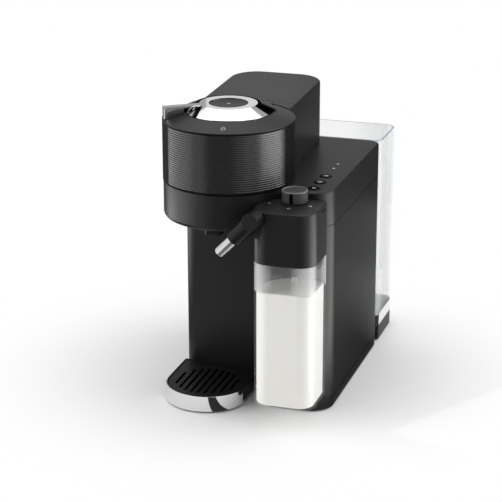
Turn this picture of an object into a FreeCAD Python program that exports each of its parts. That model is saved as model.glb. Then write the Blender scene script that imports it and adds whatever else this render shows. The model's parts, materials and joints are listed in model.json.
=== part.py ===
"""Pod coffee machine with a hinged brewing head and a docking milk carafe.

Millimetres, +Z up, the front of the machine faces -Y. Plan angles of the head are
measured from the front (-Y) towards the right (+X).
"""
import FreeCAD, Part
import math
import os

V = FreeCAD.Vector

# Fits shared by all pieces
WALL = 2.5                  # moulded housing wall
CLEAR = 0.4                 # gap between pieces that move past each other
SEAT = 0.2                  # gap under pieces that are set down by hand
RUN = 0.05                  # radial play of a shaft in its bearing
SNUG = 0.02                 # radial play of a pressed or glued piece
BIG = 400.0                 # reach of a cutting block

# Housing, seen in plan
RIGHT_X = 91.0              # right side of the column
COLUMN_LEFT_X = 24.0        # left side of the column
COLUMN_FRONT_Y = -117.0
SPINE_LEFT_X = -86.0        # left side of the wall behind the cup
SPINE_FRONT_Y = -58.0
HOUSING_REAR_Y = 96.0
COLUMN_FRONT_R = 24.0       # large rounding of the front right corner
COLUMN_INNER_R = 6.0
HOUSING_REAR_R = 14.0
SEAM = 0.7                  # shadow groove where two mouldings of the housing meet
SPINE_R = 12.0
SPINE_FOOT_R = 3.0          # hollow corner between spine and column

# Housing, heights
FOOT_H = 1.5
FOOT_R = 7.0
FOOT_SINK = 1.5             # depth of the foot's seat in the base
BASE_FLOOR = 3.0
PLINTH_Z = 12.7             # seam between base and column
COVER_Z = 202.2             # seam between column and top cover
TOP_Z = 238.7               # top of the column
TOP_EDGE_R = 2.0
DECK_T = 3.0

# Brewing head
DRUM_X = -23.3
DRUM_Y = -93.8
HEAD_R = 67.7
HEAD_WALL = 2.5
CHAMBER_STEP = 0.5          # lower drum inside the head's line
CHAMBER_WALL = 3.2
CHAMBER_FLOOR = 4.0
CHAMBER_EDGE_R = 5.0
CHAMBER_TOP_Z = 240.0
HEAD_SEAM = 0.9             # dark seam between chamber and head
COLLAR_Z = 303.5            # lower edge of the head's sloping collar
COLLAR_RIM = 0.6
COLLAR_IN_R = 45.8
COLLAR_RISE = 7.4
COLLAR_T = 3.0
RIB_PITCH = 2.3
RIB_DEPTH = 0.55
RIB_FROM, RIB_TO = -46.0, 75.0
BAND_T = 1.6

# Lever ring and brew button
RING_RISE = 8.1             # ring above the collar's inner edge
RING_T = 2.0
RING_R = 29.6
CONE_R = 45.0
CONE_LIFT = 0.7             # skirt's edge above the collar's inner edge
CONE_T = 1.3
CONE_FROM, CONE_TO = -66.0, 80.0
SLOT_FROM, SLOT_TO = -26.8, -20.4
STRIP_FROM = -35.8          # the skirt ends in a narrow strip left of its slot
POCKET_FROM, POCKET_TO = -82.0, 106.0
HOOD_IN_R = 33.0            # the hood covers the skirt's way at the back
HOOD_OUT_R = 49.0
HOOD_T = 1.1
BUTTON_R = 19.7
BUTTON_T = 3.6
BUTTON_STEM_R = 4.0
GUIDE_R = 21.4
GUIDE_T = 1.3
LEVER_ANGLE = -63.5
LEVER_REACH = 66.8
LEVER_W = 9.0
LEVER_T = 1.8
LEVER_TIP_T = 3.4
LEVER_WEB_T = 6.0
LEVER_DROP = 1.8

# Hinge of the head
HINGE_SET = 3.1             # behind the head
HINGE_DROP = 6.0            # below the collar
PIN_R = 2.0
KNUCKLE_R = 4.2
HINGE_HALF = 27.0           # from the middle to each fixed post
LUG_HALF = 20.0             # from the middle to each moving lug
HINGE_LEAF = 6.0            # width of a post or lug
LUG_REACH = 22.6            # length of a lug's arm into the head
CAP_R = 7.9                 # rounding of the cap behind the collar, about the pin

# Used-capsule bin, the long hump behind the head
BIN_HALF = 50.7
BIN_RISE = 0.9              # above the collar's lower edge, at the hinge
BIN_SLOPE = 0.03
BIN_WALL = 2.4
BIN_EDGE_R = 2.5
BIN_REAR_R = 30.0
BIN_GAP = 1.2               # round the hinge posts
BIN_FRONT_T = 18.0          # from the hinge to the hollow for the pods
CHEEK_GAP = 2.6             # lets the head's back edge past as it swings up
CHEEK_REACH = 26.0          # from the hinge forward beside the drum

# Rotor, belt drive
ROTOR_CUP_R = 28.0
ROTOR_FLOOR_R = 23.8
ROTOR_FLANGE_R = 33.0
ROTOR_WALL = 2.0
ROTOR_TOP_Z = 238.6
ROTOR_FLOOR_Z = 214.6
ROTOR_SHAFT_R = 6.0
BEARING_R = 11.0
PULLEY_Z0, PULLEY_Z1 = 207.2, 212.8
PULLEY_R = 18.0
MOTOR_Y = 0.0
MOTOR_R = 21.0
MOTOR_H = 46.0
MOTOR_PULLEY_R = 7.0
MOTOR_SHAFT_R = 3.0
BELT_T = 1.4
BELT_GAP = 0.3

# Coffee path
COLLECTOR_IN_R = 36.0
COLLECTOR_OUT_R = 63.4
COLLECTOR_T = 1.6
COLLECTOR_Z = 214.6
COLLECTOR_TOP_Z = 236.0
OUTLET_X, OUTLET_Y = -28.0, -127.0
OUTLET_W, OUTLET_D, OUTLET_H = 18.0, 15.0, 12.0
OUTLET_BORE_R = 3.2
DUCT_R = 4.6

# Drip tray
TRAY_X, TRAY_Y = -42.8, -110.5
TRAY_R = 44.6
TRAY_TOP_Z = 18.7
TRAY_WALL = 1.6
TRAY_FLOOR = 2.0
BAND_W = 1.4
BAND_Z0 = 2.0
BAND_SPREAD = 75.0
TONGUE_R = 39.0
TONGUE_TOP_Z = 4.0
TRAY_BACK_GAP = 1.2
GRID_T = 2.2
GRID_SINK = 0.5
GRID_SLOT_W = 3.0
GRID_SLOT_PITCH = 7.5
GRID_LEDGE = 2.0

# Milk carafe and its lid
CARAFE_X0, CARAFE_X1 = 24.5, 89.5
CARAFE_FRONT_Y = -175.0
CARAFE_BACK_GAP = 0.6
CARAFE_Z0 = 24.5
CARAFE_R = 18.0
CARAFE_REAR_R = 8.0
CARAFE_DRUM_R = 39.0        # the rear left corner gives way to the drum
CARAFE_WALL = 2.2
CARAFE_FOOT_Z = 30.5
CARAFE_GROOVE = 0.8
LID_Z0 = 178.0
LID_TOP_Z = 232.5
LID_PLUG = 10.0
LID_WALL = 2.5
LID_EDGE_R = 1.2
SEAL_H = 3.0
KNOB_X, KNOB_Y = 58.0, -131.0
KNOB_R = 13.2
KNOB_H = 12.5
KNOB_STEM_R = 4.0
KNOB_STEM_L = 12.0
KNOB_DISH = 0.8
PICKUP_R = 3.0
PICKUP_BORE_R = 2.0
PICKUP_END_Z = 36.0

# Milk spout on the lid's front left corner
SPOUT_X, SPOUT_Y, SPOUT_Z = 33.4, -159.955, 225.6
SPOUT_TURN = 8.0            # the pivot points this far left of the front
BOSS_R = 13.5
BOSS_L = 12.0
BOSS_DROP = 8.5             # the boss's middle lies below the pivot
SPOUT_CAP_R = 8.8
SPOUT_BARREL_R = 8.2
SPOUT_DROP = 46.0           # barrel below the level
BARREL_L = 31.0
TIP_R0, TIP_R1 = 5.9, 5.5
TIP_L = 22.5
TIP_BORE_R = 3.6
SPOUT_PIN_R = 4.0
SPOUT_PIN_L = 10.0
SPOUT_LIP = 0.8             # the cap's face stands this far past the barrel

# Water tank at the back
TANK_LEFT_X = -72.6
TANK_GAP = 0.6
TANK_DEPTH = 72.9
TANK_WALL = 2.2
TANK_R = 14.0
TANK_TOP_Z = 238.2
DOCK_TOP_Z = 17.8
BAND_TOP_Z = 31.8
VALVE_R = 7.0
VALVE_DROP = 9.0
SEAT_R = 4.5
SEAT_BORE_R = 2.0

# Controls on the column
RECIPE_X = 69.3
RECIPE_FRONT_Y = -100.4
RECIPE_PITCH = 22.6
RECIPE_COUNT = 3
RECIPE_R = 6.2
RECIPE_T = 2.0
RECIPE_PROUD = 0.8
RECIPE_TRAVEL = 0.8
RECIPE_STEM_R = 2.5
RECIPE_LIP = 1.2
LIGHT_R = 1.6
LIGHT_FRONT_Y = -24.6
LIGHT_PITCH = 17.1
LIGHT_COUNT = 2
BOARD_T = 1.6
BOARD_DROP = 10.0
BOARD_W, BOARD_L = 36.0, 116.0

# Inside the column and the spine
PUMP_X, PUMP_Y = 58.0, 28.0
PUMP_R = 18.0
PUMP_L = 70.0
PUMP_CORE = 34.0
CUSHION_T = 5.0
BOILER_X0, BOILER_X1 = 44.0, 72.0
BOILER_Y0, BOILER_Y1 = -70.0, -10.0
BOILER_Z0, BOILER_Z1 = 60.0, 150.0
BOILER_FOOT = 12.0
FLOW_X, FLOW_Y = 0.0, 60.0
FLOW_R = 15.0
FLOW_H = 18.0
HOSE_R = 3.5
HOSE_BORE_R = 2.0
LEG_W = 9.0
CONNECTOR_Z = 212.0
CONNECTOR_R = 7.0
SPIGOT_R = 5.0              # the lid hangs on this spigot
SPIGOT_L = 5.0
CONNECTOR_L = 14.0
CONNECTOR_BORE_R = 2.5
GLAND_R = 6.0
GLAND_BORE_R = 3.5
GLAND_Y, GLAND_Z = 72.0, 30.0
GLAND_PROUD = 2.0
SCREW_R = 3.0
SCREW_SHANK_R = 1.5
SCREW_HEAD = 1.6
SCREW_L = 8.0

# Places worked out from the sizes above
HEAD_Z0 = CHAMBER_TOP_Z + HEAD_SEAM
CHAMBER_R = HEAD_R - CHAMBER_STEP
HINGE_Y = DRUM_Y + HEAD_R + HINGE_SET
HINGE_Z = COLLAR_Z - HINGE_DROP
BIN_TOP_Z = COLLAR_Z + BIN_RISE
BIN_FRONT_Y = HINGE_Y - CHEEK_REACH
BIN_CAVITY_Y = HINGE_Y + BIN_FRONT_T
BASE_TOP = FOOT_H + BASE_FLOOR
TANK_Y0 = HOUSING_REAR_Y + TANK_GAP
TANK_Y1 = TANK_Y0 + TANK_DEPTH
CARAFE_BACK_Y = COLUMN_FRONT_Y - CARAFE_BACK_GAP
COLLAR_TOP_Z = COLLAR_Z + COLLAR_RISE
RING_TOP_Z = COLLAR_TOP_Z + RING_RISE
CONE_Z = COLLAR_TOP_Z + CONE_LIFT
GUIDE_FLOOR_Z = COLLAR_TOP_Z - COLLAR_T
SPOUT_AXIS = V(-math.sin(math.radians(SPOUT_TURN)), -math.cos(math.radians(SPOUT_TURN)), 0)
SPOUT_SIDE = V(-math.cos(math.radians(SPOUT_TURN)), math.sin(math.radians(SPOUT_TURN)), 0)
HUB_OUT = BOSS_L + CLEAR
BARREL_OUT = HUB_OUT + SPOUT_LIP + SPOUT_BARREL_R
CAP_OUT = BARREL_OUT + SPOUT_BARREL_R + SPOUT_LIP
FRONT_Y = SPOUT_Y + SPOUT_AXIS.y * CAP_OUT - SPOUT_CAP_R * abs(SPOUT_AXIS.x)
MIDDLE = V((RIGHT_X + DRUM_X - HEAD_R) / 2, (FRONT_Y + TANK_Y1) / 2, 0)


def rounded_face(points, radii, z):
    """A flat face whose straight sides meet in tangent arcs."""
    corners = [V(x, y, z) for x, y in points]
    count = len(corners)
    starts, ends, middles = [], [], []
    for i, corner in enumerate(corners):
        back = (corners[i - 1] - corner).normalize()
        ahead = (corners[(i + 1) % count] - corner).normalize()
        half = back.getAngle(ahead) / 2
        reach = radii[i] / math.tan(half)
        bisector = (back + ahead).normalize()
        starts.append(corner + back * reach)
        ends.append(corner + ahead * reach)
        middles.append(corner + bisector * (radii[i] / math.sin(half) - radii[i]))
    edges = []
    for i in range(count):
        if radii[i] > 0:
            edges.append(Part.Arc(starts[i], middles[i], ends[i]).toShape())
        edges.append(Part.LineSegment(ends[i], starts[(i + 1) % count]).toShape())
    return Part.Face(Part.Wire(edges))


def slab(points, radii, z0, z1):
    """A rounded outline stood up from one height to another."""
    return rounded_face(points, radii, z0).extrude(V(0, 0, z1 - z0))


def block(x0, x1, y0, y1, z0, z1):
    """A box between two corners."""
    return Part.makeBox(x1 - x0, y1 - y0, z1 - z0, V(x0, y0, z0))


def rod(radius, x, y, z0, z1):
    """An upright cylinder."""
    return Part.makeCylinder(radius, z1 - z0, V(x, y, z0))


def pipe(outer, inner, x, y, z0, z1):
    """An upright tube."""
    return rod(outer, x, y, z0, z1).cut(rod(inner, x, y, z0, z1))


def rod_along(radius, start, direction, length):
    """A cylinder from a point along a direction."""
    return Part.makeCylinder(radius, length, start, direction)


def lathe(outline, x, y, start=-180.0, sweep=360.0):
    """Turn an outline of (radius, height) points about an upright axis.

    The turn starts at a plan angle measured from the front towards the right.
    """
    wire = Part.makePolygon([V(r, 0, z) for r, z in outline + outline[:1]])
    solid = Part.Face(wire).revolve(V(0, 0, 0), V(0, 0, 1), sweep)
    solid.rotate(V(0, 0, 0), V(0, 0, 1), start - 90.0)
    solid.translate(V(x, y, 0))
    return solid


def joined(first, *rest):
    """Pieces moulded as one solid."""
    return first.fuse(list(rest)).removeSplitter()


def body_outline(inset):
    """The housing's plan, moved inwards by a wall."""
    points = [
        (SPINE_LEFT_X + inset, SPINE_FRONT_Y + inset),
        (COLUMN_LEFT_X + inset, SPINE_FRONT_Y + inset),
        (COLUMN_LEFT_X + inset, COLUMN_FRONT_Y + inset),
        (RIGHT_X - inset, COLUMN_FRONT_Y + inset),
        (RIGHT_X - inset, HOUSING_REAR_Y - inset),
        (SPINE_LEFT_X + inset, HOUSING_REAR_Y - inset),
    ]
    radii = [SPINE_R - inset, SPINE_FOOT_R + inset, COLUMN_INNER_R - inset,
             COLUMN_FRONT_R - inset, HOUSING_REAR_R - inset, SPINE_R - inset]
    return points, radii


def body_slab(inset, z0, z1):
    """A slice of the housing."""
    points, radii = body_outline(inset)
    return slab(points, radii, z0, z1)


def seam(z0):
    """Shallow groove round the housing from a height up."""
    return body_slab(0, z0, z0 + SEAM).cut(body_slab(SEAM, z0, z0 + SEAM))


def carafe_slab(inset, z0, z1):
    """A slice of the milk carafe."""
    points = [
        (CARAFE_X0 + inset, CARAFE_FRONT_Y + inset), (CARAFE_X1 - inset, CARAFE_FRONT_Y + inset),
        (CARAFE_X1 - inset, CARAFE_BACK_Y - inset), (CARAFE_X0 + inset, CARAFE_BACK_Y - inset),
    ]
    front, rear = CARAFE_R - inset, CARAFE_REAR_R - inset
    return slab(points, [front, front, rear, CARAFE_DRUM_R - inset], z0, z1)


def tank_slab(inset, z0, z1):
    """A slice of the water tank."""
    points = [
        (TANK_LEFT_X + inset, TANK_Y0 + inset), (RIGHT_X - inset, TANK_Y0 + inset),
        (RIGHT_X - inset, TANK_Y1 - inset), (TANK_LEFT_X + inset, TANK_Y1 - inset),
    ]
    front, rear = TANK_R / 2 - inset, TANK_R - inset
    return slab(points, [front, front, rear, rear], z0, z1)


def tray_slab(radius, back_y, z0, z1):
    """A slice of the drip tray: round at the front, straight at the back."""
    straight = block(TRAY_X - radius, TRAY_X + radius, TRAY_Y, back_y, z0, z1)
    return joined(rod(radius, TRAY_X, TRAY_Y, z0, z1), straight)


def foot_places():
    """Where the feet stand under the base."""
    edge = FOOT_R + SPINE_R
    return [
        (SPINE_LEFT_X + edge, SPINE_FRONT_Y + edge), (SPINE_LEFT_X + edge, HOUSING_REAR_Y - edge),
        (RIGHT_X - edge, HOUSING_REAR_Y - edge), (RIGHT_X - edge, COLUMN_FRONT_Y + edge),
    ]


def upper_edges(shape, z):
    """The edges of a shape that lie flat at one height."""
    flat = []
    for edge in shape.Edges:
        box = edge.BoundBox
        if abs(box.ZMin - z) < SNUG and abs(box.ZMax - z) < SNUG:
            flat.append(edge)
    return flat


def base_plate():
    """Floor tray of the machine with the tongue that carries the drip tray."""
    rim = body_slab(0, FOOT_H, PLINTH_Z).cut(body_slab(WALL, BASE_TOP, PLINTH_Z)).cut(seam(PLINTH_Z - SEAM))
    tongue = tray_slab(TONGUE_R, SPINE_FRONT_Y + WALL, FOOT_H, TONGUE_TOP_Z)
    plate = joined(rim, tongue)
    for x, y in foot_places():
        plate = plate.cut(rod(FOOT_R + SNUG, x, y, FOOT_H, FOOT_H + FOOT_SINK))
    for x, y in leg_places():
        plate = plate.cut(rod(SCREW_R + SNUG, x, y, FOOT_H, FOOT_H + SCREW_HEAD))
        plate = plate.cut(rod(SCREW_SHANK_R + SNUG, x, y, FOOT_H, BASE_TOP))
    return plate


def rubber_feet():
    """Four feet pressed into the base."""
    return Part.makeCompound([rod(FOOT_R, x, y, 0, FOOT_H + FOOT_SINK) for x, y in foot_places()])


def base_screws():
    """Screws through the base into the deck's legs."""
    screws = []
    for x, y in leg_places():
        head = rod(SCREW_R, x, y, FOOT_H, FOOT_H + SCREW_HEAD)
        screws.append(joined(head, rod(SCREW_SHANK_R, x, y, FOOT_H, FOOT_H + SCREW_L)))
    return Part.makeCompound(screws)


def leg_places():
    """Where the deck stands on the base and is screwed to it."""
    near = WALL + LEG_W
    return [
        (SPINE_LEFT_X + near, SPINE_FRONT_Y + near + 2 * SPINE_R),
        (SPINE_LEFT_X + near, HOUSING_REAR_Y - near - 2 * HOUSING_REAR_R),
        (RIGHT_X - near, HOUSING_REAR_Y - near - 2 * HOUSING_REAR_R),
        (COLUMN_LEFT_X + near, COLUMN_FRONT_Y + near),
    ]


def chassis_deck():
    """Deck on four legs that carries the brewing unit and the drive."""
    deck = body_slab(WALL + CLEAR, COVER_Z - DECK_T, COVER_Z)
    for x, y in leg_places():
        half = LEG_W / 2
        deck = deck.fuse(block(x - half, x + half, y - half, y + half, BASE_TOP, COVER_Z))
    deck = deck.removeSplitter()
    for x, y in leg_places():
        deck = deck.cut(rod(SCREW_SHANK_R + SNUG, x, y, BASE_TOP, FOOT_H + SCREW_L))
    return deck.cut(rod(MOTOR_SHAFT_R + CLEAR, DRUM_X, MOTOR_Y, COVER_Z - DECK_T, COVER_Z))


def column_shell():
    """Outer wall of the column and of the spine behind the cup."""
    shell = body_slab(0, PLINTH_Z, COVER_Z).cut(body_slab(WALL, PLINTH_Z, COVER_Z))
    hole = rod_along(GLAND_R + SNUG, V(SPINE_LEFT_X, GLAND_Y, GLAND_Z), V(1, 0, 0), WALL)
    return shell.cut(hole)


def top_cover():
    """Cap of the column with the control holes and the hollow for the brewing chamber."""
    cap = body_slab(0, COVER_Z, TOP_Z)
    cap = cap.makeFillet(TOP_EDGE_R, upper_edges(cap, TOP_Z))
    cap = cap.cut(body_slab(WALL, COVER_Z, TOP_Z - WALL)).cut(seam(COVER_Z))
    cap = cap.cut(rod(CHAMBER_R + CLEAR, DRUM_X, DRUM_Y, COVER_Z, TOP_Z))
    for y in recipe_places():
        cap = cap.cut(rod(RECIPE_R + CLEAR, RECIPE_X, y, TOP_Z - WALL, TOP_Z))
    for y in light_places():
        cap = cap.cut(rod(LIGHT_R + SNUG, RECIPE_X, y, TOP_Z - WALL, TOP_Z))
    hole = rod_along(CONNECTOR_R + SNUG, V(KNOB_X, COLUMN_FRONT_Y, CONNECTOR_Z), V(0, 1, 0), WALL)
    return cap.cut(hole)


def recipe_places():
    """Where the recipe buttons stand along the column."""
    return [RECIPE_FRONT_Y + i * RECIPE_PITCH for i in range(RECIPE_COUNT)]


def light_places():
    """Where the indicator lights stand along the column."""
    return [LIGHT_FRONT_Y + i * LIGHT_PITCH for i in range(LIGHT_COUNT)]


def recipe_button(y):
    """A round button held by a lip under the cover."""
    under = TOP_Z - WALL
    cap = rod(RECIPE_R, RECIPE_X, y, under - CLEAR, TOP_Z + RECIPE_PROUD)
    lip = rod(RECIPE_R + RECIPE_LIP, RECIPE_X, y, under - CLEAR - RECIPE_T, under - CLEAR)
    board_top = under - BOARD_DROP
    stem = rod(RECIPE_STEM_R, RECIPE_X, y, board_top + RECIPE_TRAVEL + SEAT, under - CLEAR)
    return joined(cap, lip, stem)


def indicator_lights():
    """Light pipes from the board to the cover."""
    under = TOP_Z - WALL - BOARD_DROP
    return Part.makeCompound([rod(LIGHT_R, RECIPE_X, y, under, TOP_Z) for y in light_places()])


def control_board():
    """Circuit board hung under the cover on four posts, beside the chamber."""
    z1 = TOP_Z - WALL - BOARD_DROP
    x0 = RECIPE_X - BOARD_W / 2
    y0 = RECIPE_FRONT_Y - RECIPE_R - RECIPE_LIP
    plate = block(x0, x0 + BOARD_W, y0, y0 + BOARD_L, z1 - BOARD_T, z1)
    plate = plate.common(body_slab(WALL + CLEAR, z1 - BOARD_T, z1))
    plate = plate.cut(rod(CHAMBER_R + 2 * CLEAR, DRUM_X, DRUM_Y, z1 - BOARD_T, z1))
    reach = BOARD_W / 2 - RECIPE_LIP - SCREW_R
    for x in (RECIPE_X - reach, RECIPE_X + reach):
        for y in (y0 + BOARD_L - SCREW_R, y0 + BOARD_L * 2 / 3):
            plate = plate.fuse(rod(SCREW_R, x, y, z1 - BOARD_T, TOP_Z - WALL))
    return plate.removeSplitter()


def chamber_shell():
    """Lower drum that holds the rotor, open at the top."""
    shell = rod(CHAMBER_R, DRUM_X, DRUM_Y, COVER_Z, CHAMBER_TOP_Z)
    shell = shell.makeFillet(CHAMBER_EDGE_R, upper_edges(shell, COVER_Z))
    inner = CHAMBER_R - CHAMBER_WALL
    floor_z = COVER_Z + CHAMBER_FLOOR
    shell = shell.cut(rod(inner, DRUM_X, DRUM_Y, floor_z, CHAMBER_TOP_Z))
    shell = shell.cut(rod(BEARING_R + SNUG, DRUM_X, DRUM_Y, COVER_Z, floor_z))
    shell = shell.cut(rod(DUCT_R + SNUG, OUTLET_X, OUTLET_Y, COVER_Z, floor_z))
    return shell.cut(belt_slot(floor_z))


def belt_slot(z0):
    """Opening through the drum's back for the drive belt."""
    half = PULLEY_R + BELT_GAP + BELT_T + CLEAR
    return block(DRUM_X - half, DRUM_X + half, DRUM_Y, DRUM_Y + BIG, z0, PULLEY_Z1 + CLEAR)


def coffee_collector():
    """Ring trough round the rotor that leads the coffee to the outlet."""
    floor_z = COVER_Z + CHAMBER_FLOOR
    inner, outer, thick = COLLECTOR_IN_R, COLLECTOR_OUT_R, COLLECTOR_T
    trough = lathe([
        (inner, COLLECTOR_Z - thick), (outer - thick, COLLECTOR_Z - thick), (outer - thick, floor_z),
        (outer, floor_z), (outer, COLLECTOR_TOP_Z), (outer - thick, COLLECTOR_TOP_Z),
        (outer - thick, COLLECTOR_Z), (inner + thick, COLLECTOR_Z),
        (inner + thick, COLLECTOR_TOP_Z - thick), (inner, COLLECTOR_TOP_Z - thick),
    ], DRUM_X, DRUM_Y)
    duct = rod(DUCT_R, OUTLET_X, OUTLET_Y, COVER_Z, COLLECTOR_Z)
    trough = joined(trough.cut(belt_slot(floor_z)), duct)
    return trough.cut(rod(OUTLET_BORE_R, OUTLET_X, OUTLET_Y, COVER_Z, COLLECTOR_Z))


def coffee_outlet():
    """Short spout under the drum."""
    half_w, half_d = OUTLET_W / 2, OUTLET_D / 2
    z0 = COVER_Z - OUTLET_H
    corner = half_d / 2
    points = [(OUTLET_X - half_w, OUTLET_Y - half_d), (OUTLET_X + half_w, OUTLET_Y - half_d),
              (OUTLET_X + half_w, OUTLET_Y + half_d), (OUTLET_X - half_w, OUTLET_Y + half_d)]
    spout = slab(points, [corner] * len(points), z0, COVER_Z)
    return spout.cut(rod(OUTLET_BORE_R, OUTLET_X, OUTLET_Y, z0, COVER_Z))


def rotor_bearing():
    """Bush for the rotor's shaft in the drum's floor."""
    return pipe(BEARING_R, ROTOR_SHAFT_R + RUN, DRUM_X, DRUM_Y, COVER_Z, COVER_Z + CHAMBER_FLOOR)


def capsule_holder():
    """Spinning cup with a flange that carries the pod's rim."""
    wall, floor = ROTOR_WALL, ROTOR_FLOOR_Z
    taper = ROTOR_FLOOR_R
    return lathe([
        (0, COVER_Z + CLEAR), (ROTOR_SHAFT_R, COVER_Z + CLEAR), (ROTOR_SHAFT_R, floor),
        (taper, floor), (ROTOR_CUP_R, ROTOR_TOP_Z - 2 * wall),
        (ROTOR_FLANGE_R, ROTOR_TOP_Z - wall), (ROTOR_FLANGE_R, ROTOR_TOP_Z),
        (ROTOR_CUP_R - wall, ROTOR_TOP_Z), (taper - wall, floor + wall), (0, floor + wall),
    ], DRUM_X, DRUM_Y)


def grooved_pulley(radius, bore, x, y):
    """A pulley with a flat crown."""
    return pipe(radius, bore + SNUG, x, y, PULLEY_Z0, PULLEY_Z1)


def drive_belt():
    """Flat belt from the motor to the rotor."""
    def loop(offset):
        big, small = PULLEY_R + offset, MOTOR_PULLEY_R + offset
        reach = MOTOR_Y - DRUM_Y
        lean = math.asin((big - small) / reach)
        z0, tall = PULLEY_Z0 + BELT_GAP, PULLEY_Z1 - PULLEY_Z0 - 2 * BELT_GAP
        c, s = math.cos(lean), math.sin(lean)
        corners = [V(DRUM_X + big * c, DRUM_Y + big * s, z0),
                   V(DRUM_X + small * c, MOTOR_Y + small * s, z0),
                   V(DRUM_X - small * c, MOTOR_Y + small * s, z0),
                   V(DRUM_X - big * c, DRUM_Y + big * s, z0)]
        edges = [
            Part.LineSegment(corners[0], corners[1]).toShape(),
            Part.Arc(corners[1], V(DRUM_X, MOTOR_Y + small, z0), corners[2]).toShape(),
            Part.LineSegment(corners[2], corners[3]).toShape(),
            Part.Arc(corners[3], V(DRUM_X, DRUM_Y - big, z0), corners[0]).toShape(),
        ]
        return Part.Face(Part.Wire(edges)).extrude(V(0, 0, tall))
    return loop(BELT_GAP + BELT_T).cut(loop(BELT_GAP))


def motor_body():
    """Spin motor bolted under the deck."""
    top = COVER_Z - DECK_T
    can = rod(MOTOR_R, DRUM_X, MOTOR_Y, top - MOTOR_H, top)
    return can.cut(rod(MOTOR_SHAFT_R + RUN, DRUM_X, MOTOR_Y, top - MOTOR_H / 2, top))


def motor_shaft():
    """Shaft of the spin motor."""
    return rod(MOTOR_SHAFT_R, DRUM_X, MOTOR_Y, COVER_Z - DECK_T - MOTOR_H / 2, PULLEY_Z1)


def collar_height(radius):
    """Height of the collar's sloping top at a radius."""
    share = (HEAD_R - radius) / (HEAD_R - COLLAR_IN_R)
    return COLLAR_Z + COLLAR_RIM + (COLLAR_RISE - COLLAR_RIM) * share


def cone_height(radius):
    """Height of the lever ring's sloping skirt at a radius."""
    return CONE_Z + (RING_TOP_Z - CONE_Z) * (CONE_R - radius) / (CONE_R - RING_R)


def head_shell():
    """Upper drum of the head, recessed for the ribbed band and notched for the hinge lugs."""
    inner = HEAD_R - HEAD_WALL
    shell = pipe(HEAD_R, inner, DRUM_X, DRUM_Y, HEAD_Z0, COLLAR_Z)
    recess = lathe([
        (HEAD_R - BAND_T, band_z0()), (HEAD_R + CLEAR, band_z0()),
        (HEAD_R + CLEAR, band_z1()), (HEAD_R - BAND_T, band_z1()),
    ], DRUM_X, DRUM_Y, RIB_FROM, RIB_TO - RIB_FROM)
    shell = shell.cut(recess)
    for x in leaf_places(LUG_HALF) + leaf_places(HINGE_HALF):
        half = HINGE_LEAF / 2 + CLEAR
        shell = shell.cut(block(x - half, x + half, HINGE_Y - LUG_REACH, HINGE_Y + KNUCKLE_R,
                                frame_z0() - CLEAR, COLLAR_Z))
    return shell


def band_z0():
    """Lower edge of the ribbed band."""
    return HEAD_Z0 + WALL / 2


def band_z1():
    """Upper edge of the ribbed band, a whole number of ribs above the lower one."""
    ribs = math.floor((COLLAR_Z - WALL / 4 - band_z0()) / RIB_PITCH)
    return band_z0() + ribs * RIB_PITCH


def head_band():
    """Front sleeve of the head with fine level ribs."""
    ribs = round((band_z1() - band_z0()) / RIB_PITCH)
    outline = [(HEAD_R - BAND_T, band_z1()), (HEAD_R - BAND_T, band_z0())]
    for i in range(ribs):
        z = band_z0() + i * RIB_PITCH
        outline.append((HEAD_R - RIB_DEPTH, z))
        outline.append((HEAD_R, z + RIB_PITCH / 2))
    outline.append((HEAD_R - RIB_DEPTH, band_z1()))
    return lathe(outline, DRUM_X, DRUM_Y, RIB_FROM, RIB_TO - RIB_FROM)


def head_collar():
    """Sloping collar with the pocket in which the lever ring turns."""
    rim = HEAD_R
    collar = lathe([
        (GUIDE_R - GUIDE_T, GUIDE_FLOOR_Z - COLLAR_T), (COLLAR_IN_R, GUIDE_FLOOR_Z - COLLAR_T),
        (rim - HEAD_WALL, COLLAR_Z), (rim, COLLAR_Z), (rim, COLLAR_Z + COLLAR_RIM),
        (COLLAR_IN_R, COLLAR_TOP_Z), (COLLAR_IN_R, GUIDE_FLOOR_Z), (GUIDE_R, GUIDE_FLOOR_Z),
        (GUIDE_R, RING_TOP_Z - RING_T - CLEAR), (GUIDE_R - GUIDE_T, RING_TOP_Z - RING_T - CLEAR),
    ], DRUM_X, DRUM_Y)
    edge_r, edge_z = CONE_R + CLEAR, CONE_Z + CLEAR
    hood_z = cone_height(HOOD_IN_R) + CLEAR
    hood = lathe([
        (HOOD_OUT_R, collar_height(HOOD_OUT_R) - CLEAR), (COLLAR_IN_R, COLLAR_TOP_Z - CLEAR),
        (edge_r, edge_z), (HOOD_IN_R, hood_z), (HOOD_IN_R, hood_z + HOOD_T),
        (edge_r + HOOD_T, edge_z + HOOD_T),
    ], DRUM_X, DRUM_Y, POCKET_TO, 360.0 - POCKET_TO + POCKET_FROM)
    floor = rod(GUIDE_R - GUIDE_T, DRUM_X, DRUM_Y, GUIDE_FLOOR_Z - COLLAR_T, GUIDE_FLOOR_Z)
    collar = joined(collar, floor, hood, hinge_cap())
    return collar.cut(rod(BUTTON_STEM_R + RUN, DRUM_X, DRUM_Y, GUIDE_FLOOR_Z - COLLAR_T, GUIDE_FLOOR_Z))


def hinge_cap():
    """Cap behind the collar that closes the bin's notch and turns in it about the pin."""
    half = LUG_HALF + HINGE_LEAF - CLEAR
    low = HINGE_Z + KNUCKLE_R + CLEAR
    plate = block(DRUM_X - half, DRUM_X + half, BIN_FRONT_Y, HINGE_Y + CAP_R, low, BIN_TOP_Z)
    front = block(DRUM_X - half, DRUM_X + half, BIN_FRONT_Y, HINGE_Y, low, BIN_TOP_Z)
    round_back = rod_along(CAP_R, V(DRUM_X - half, HINGE_Y, HINGE_Z), V(1, 0, 0), 2 * half)
    cap = plate.common(front.fuse(round_back))
    return cap.cut(rod(HEAD_R, DRUM_X, DRUM_Y, low, COLLAR_Z))


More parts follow.
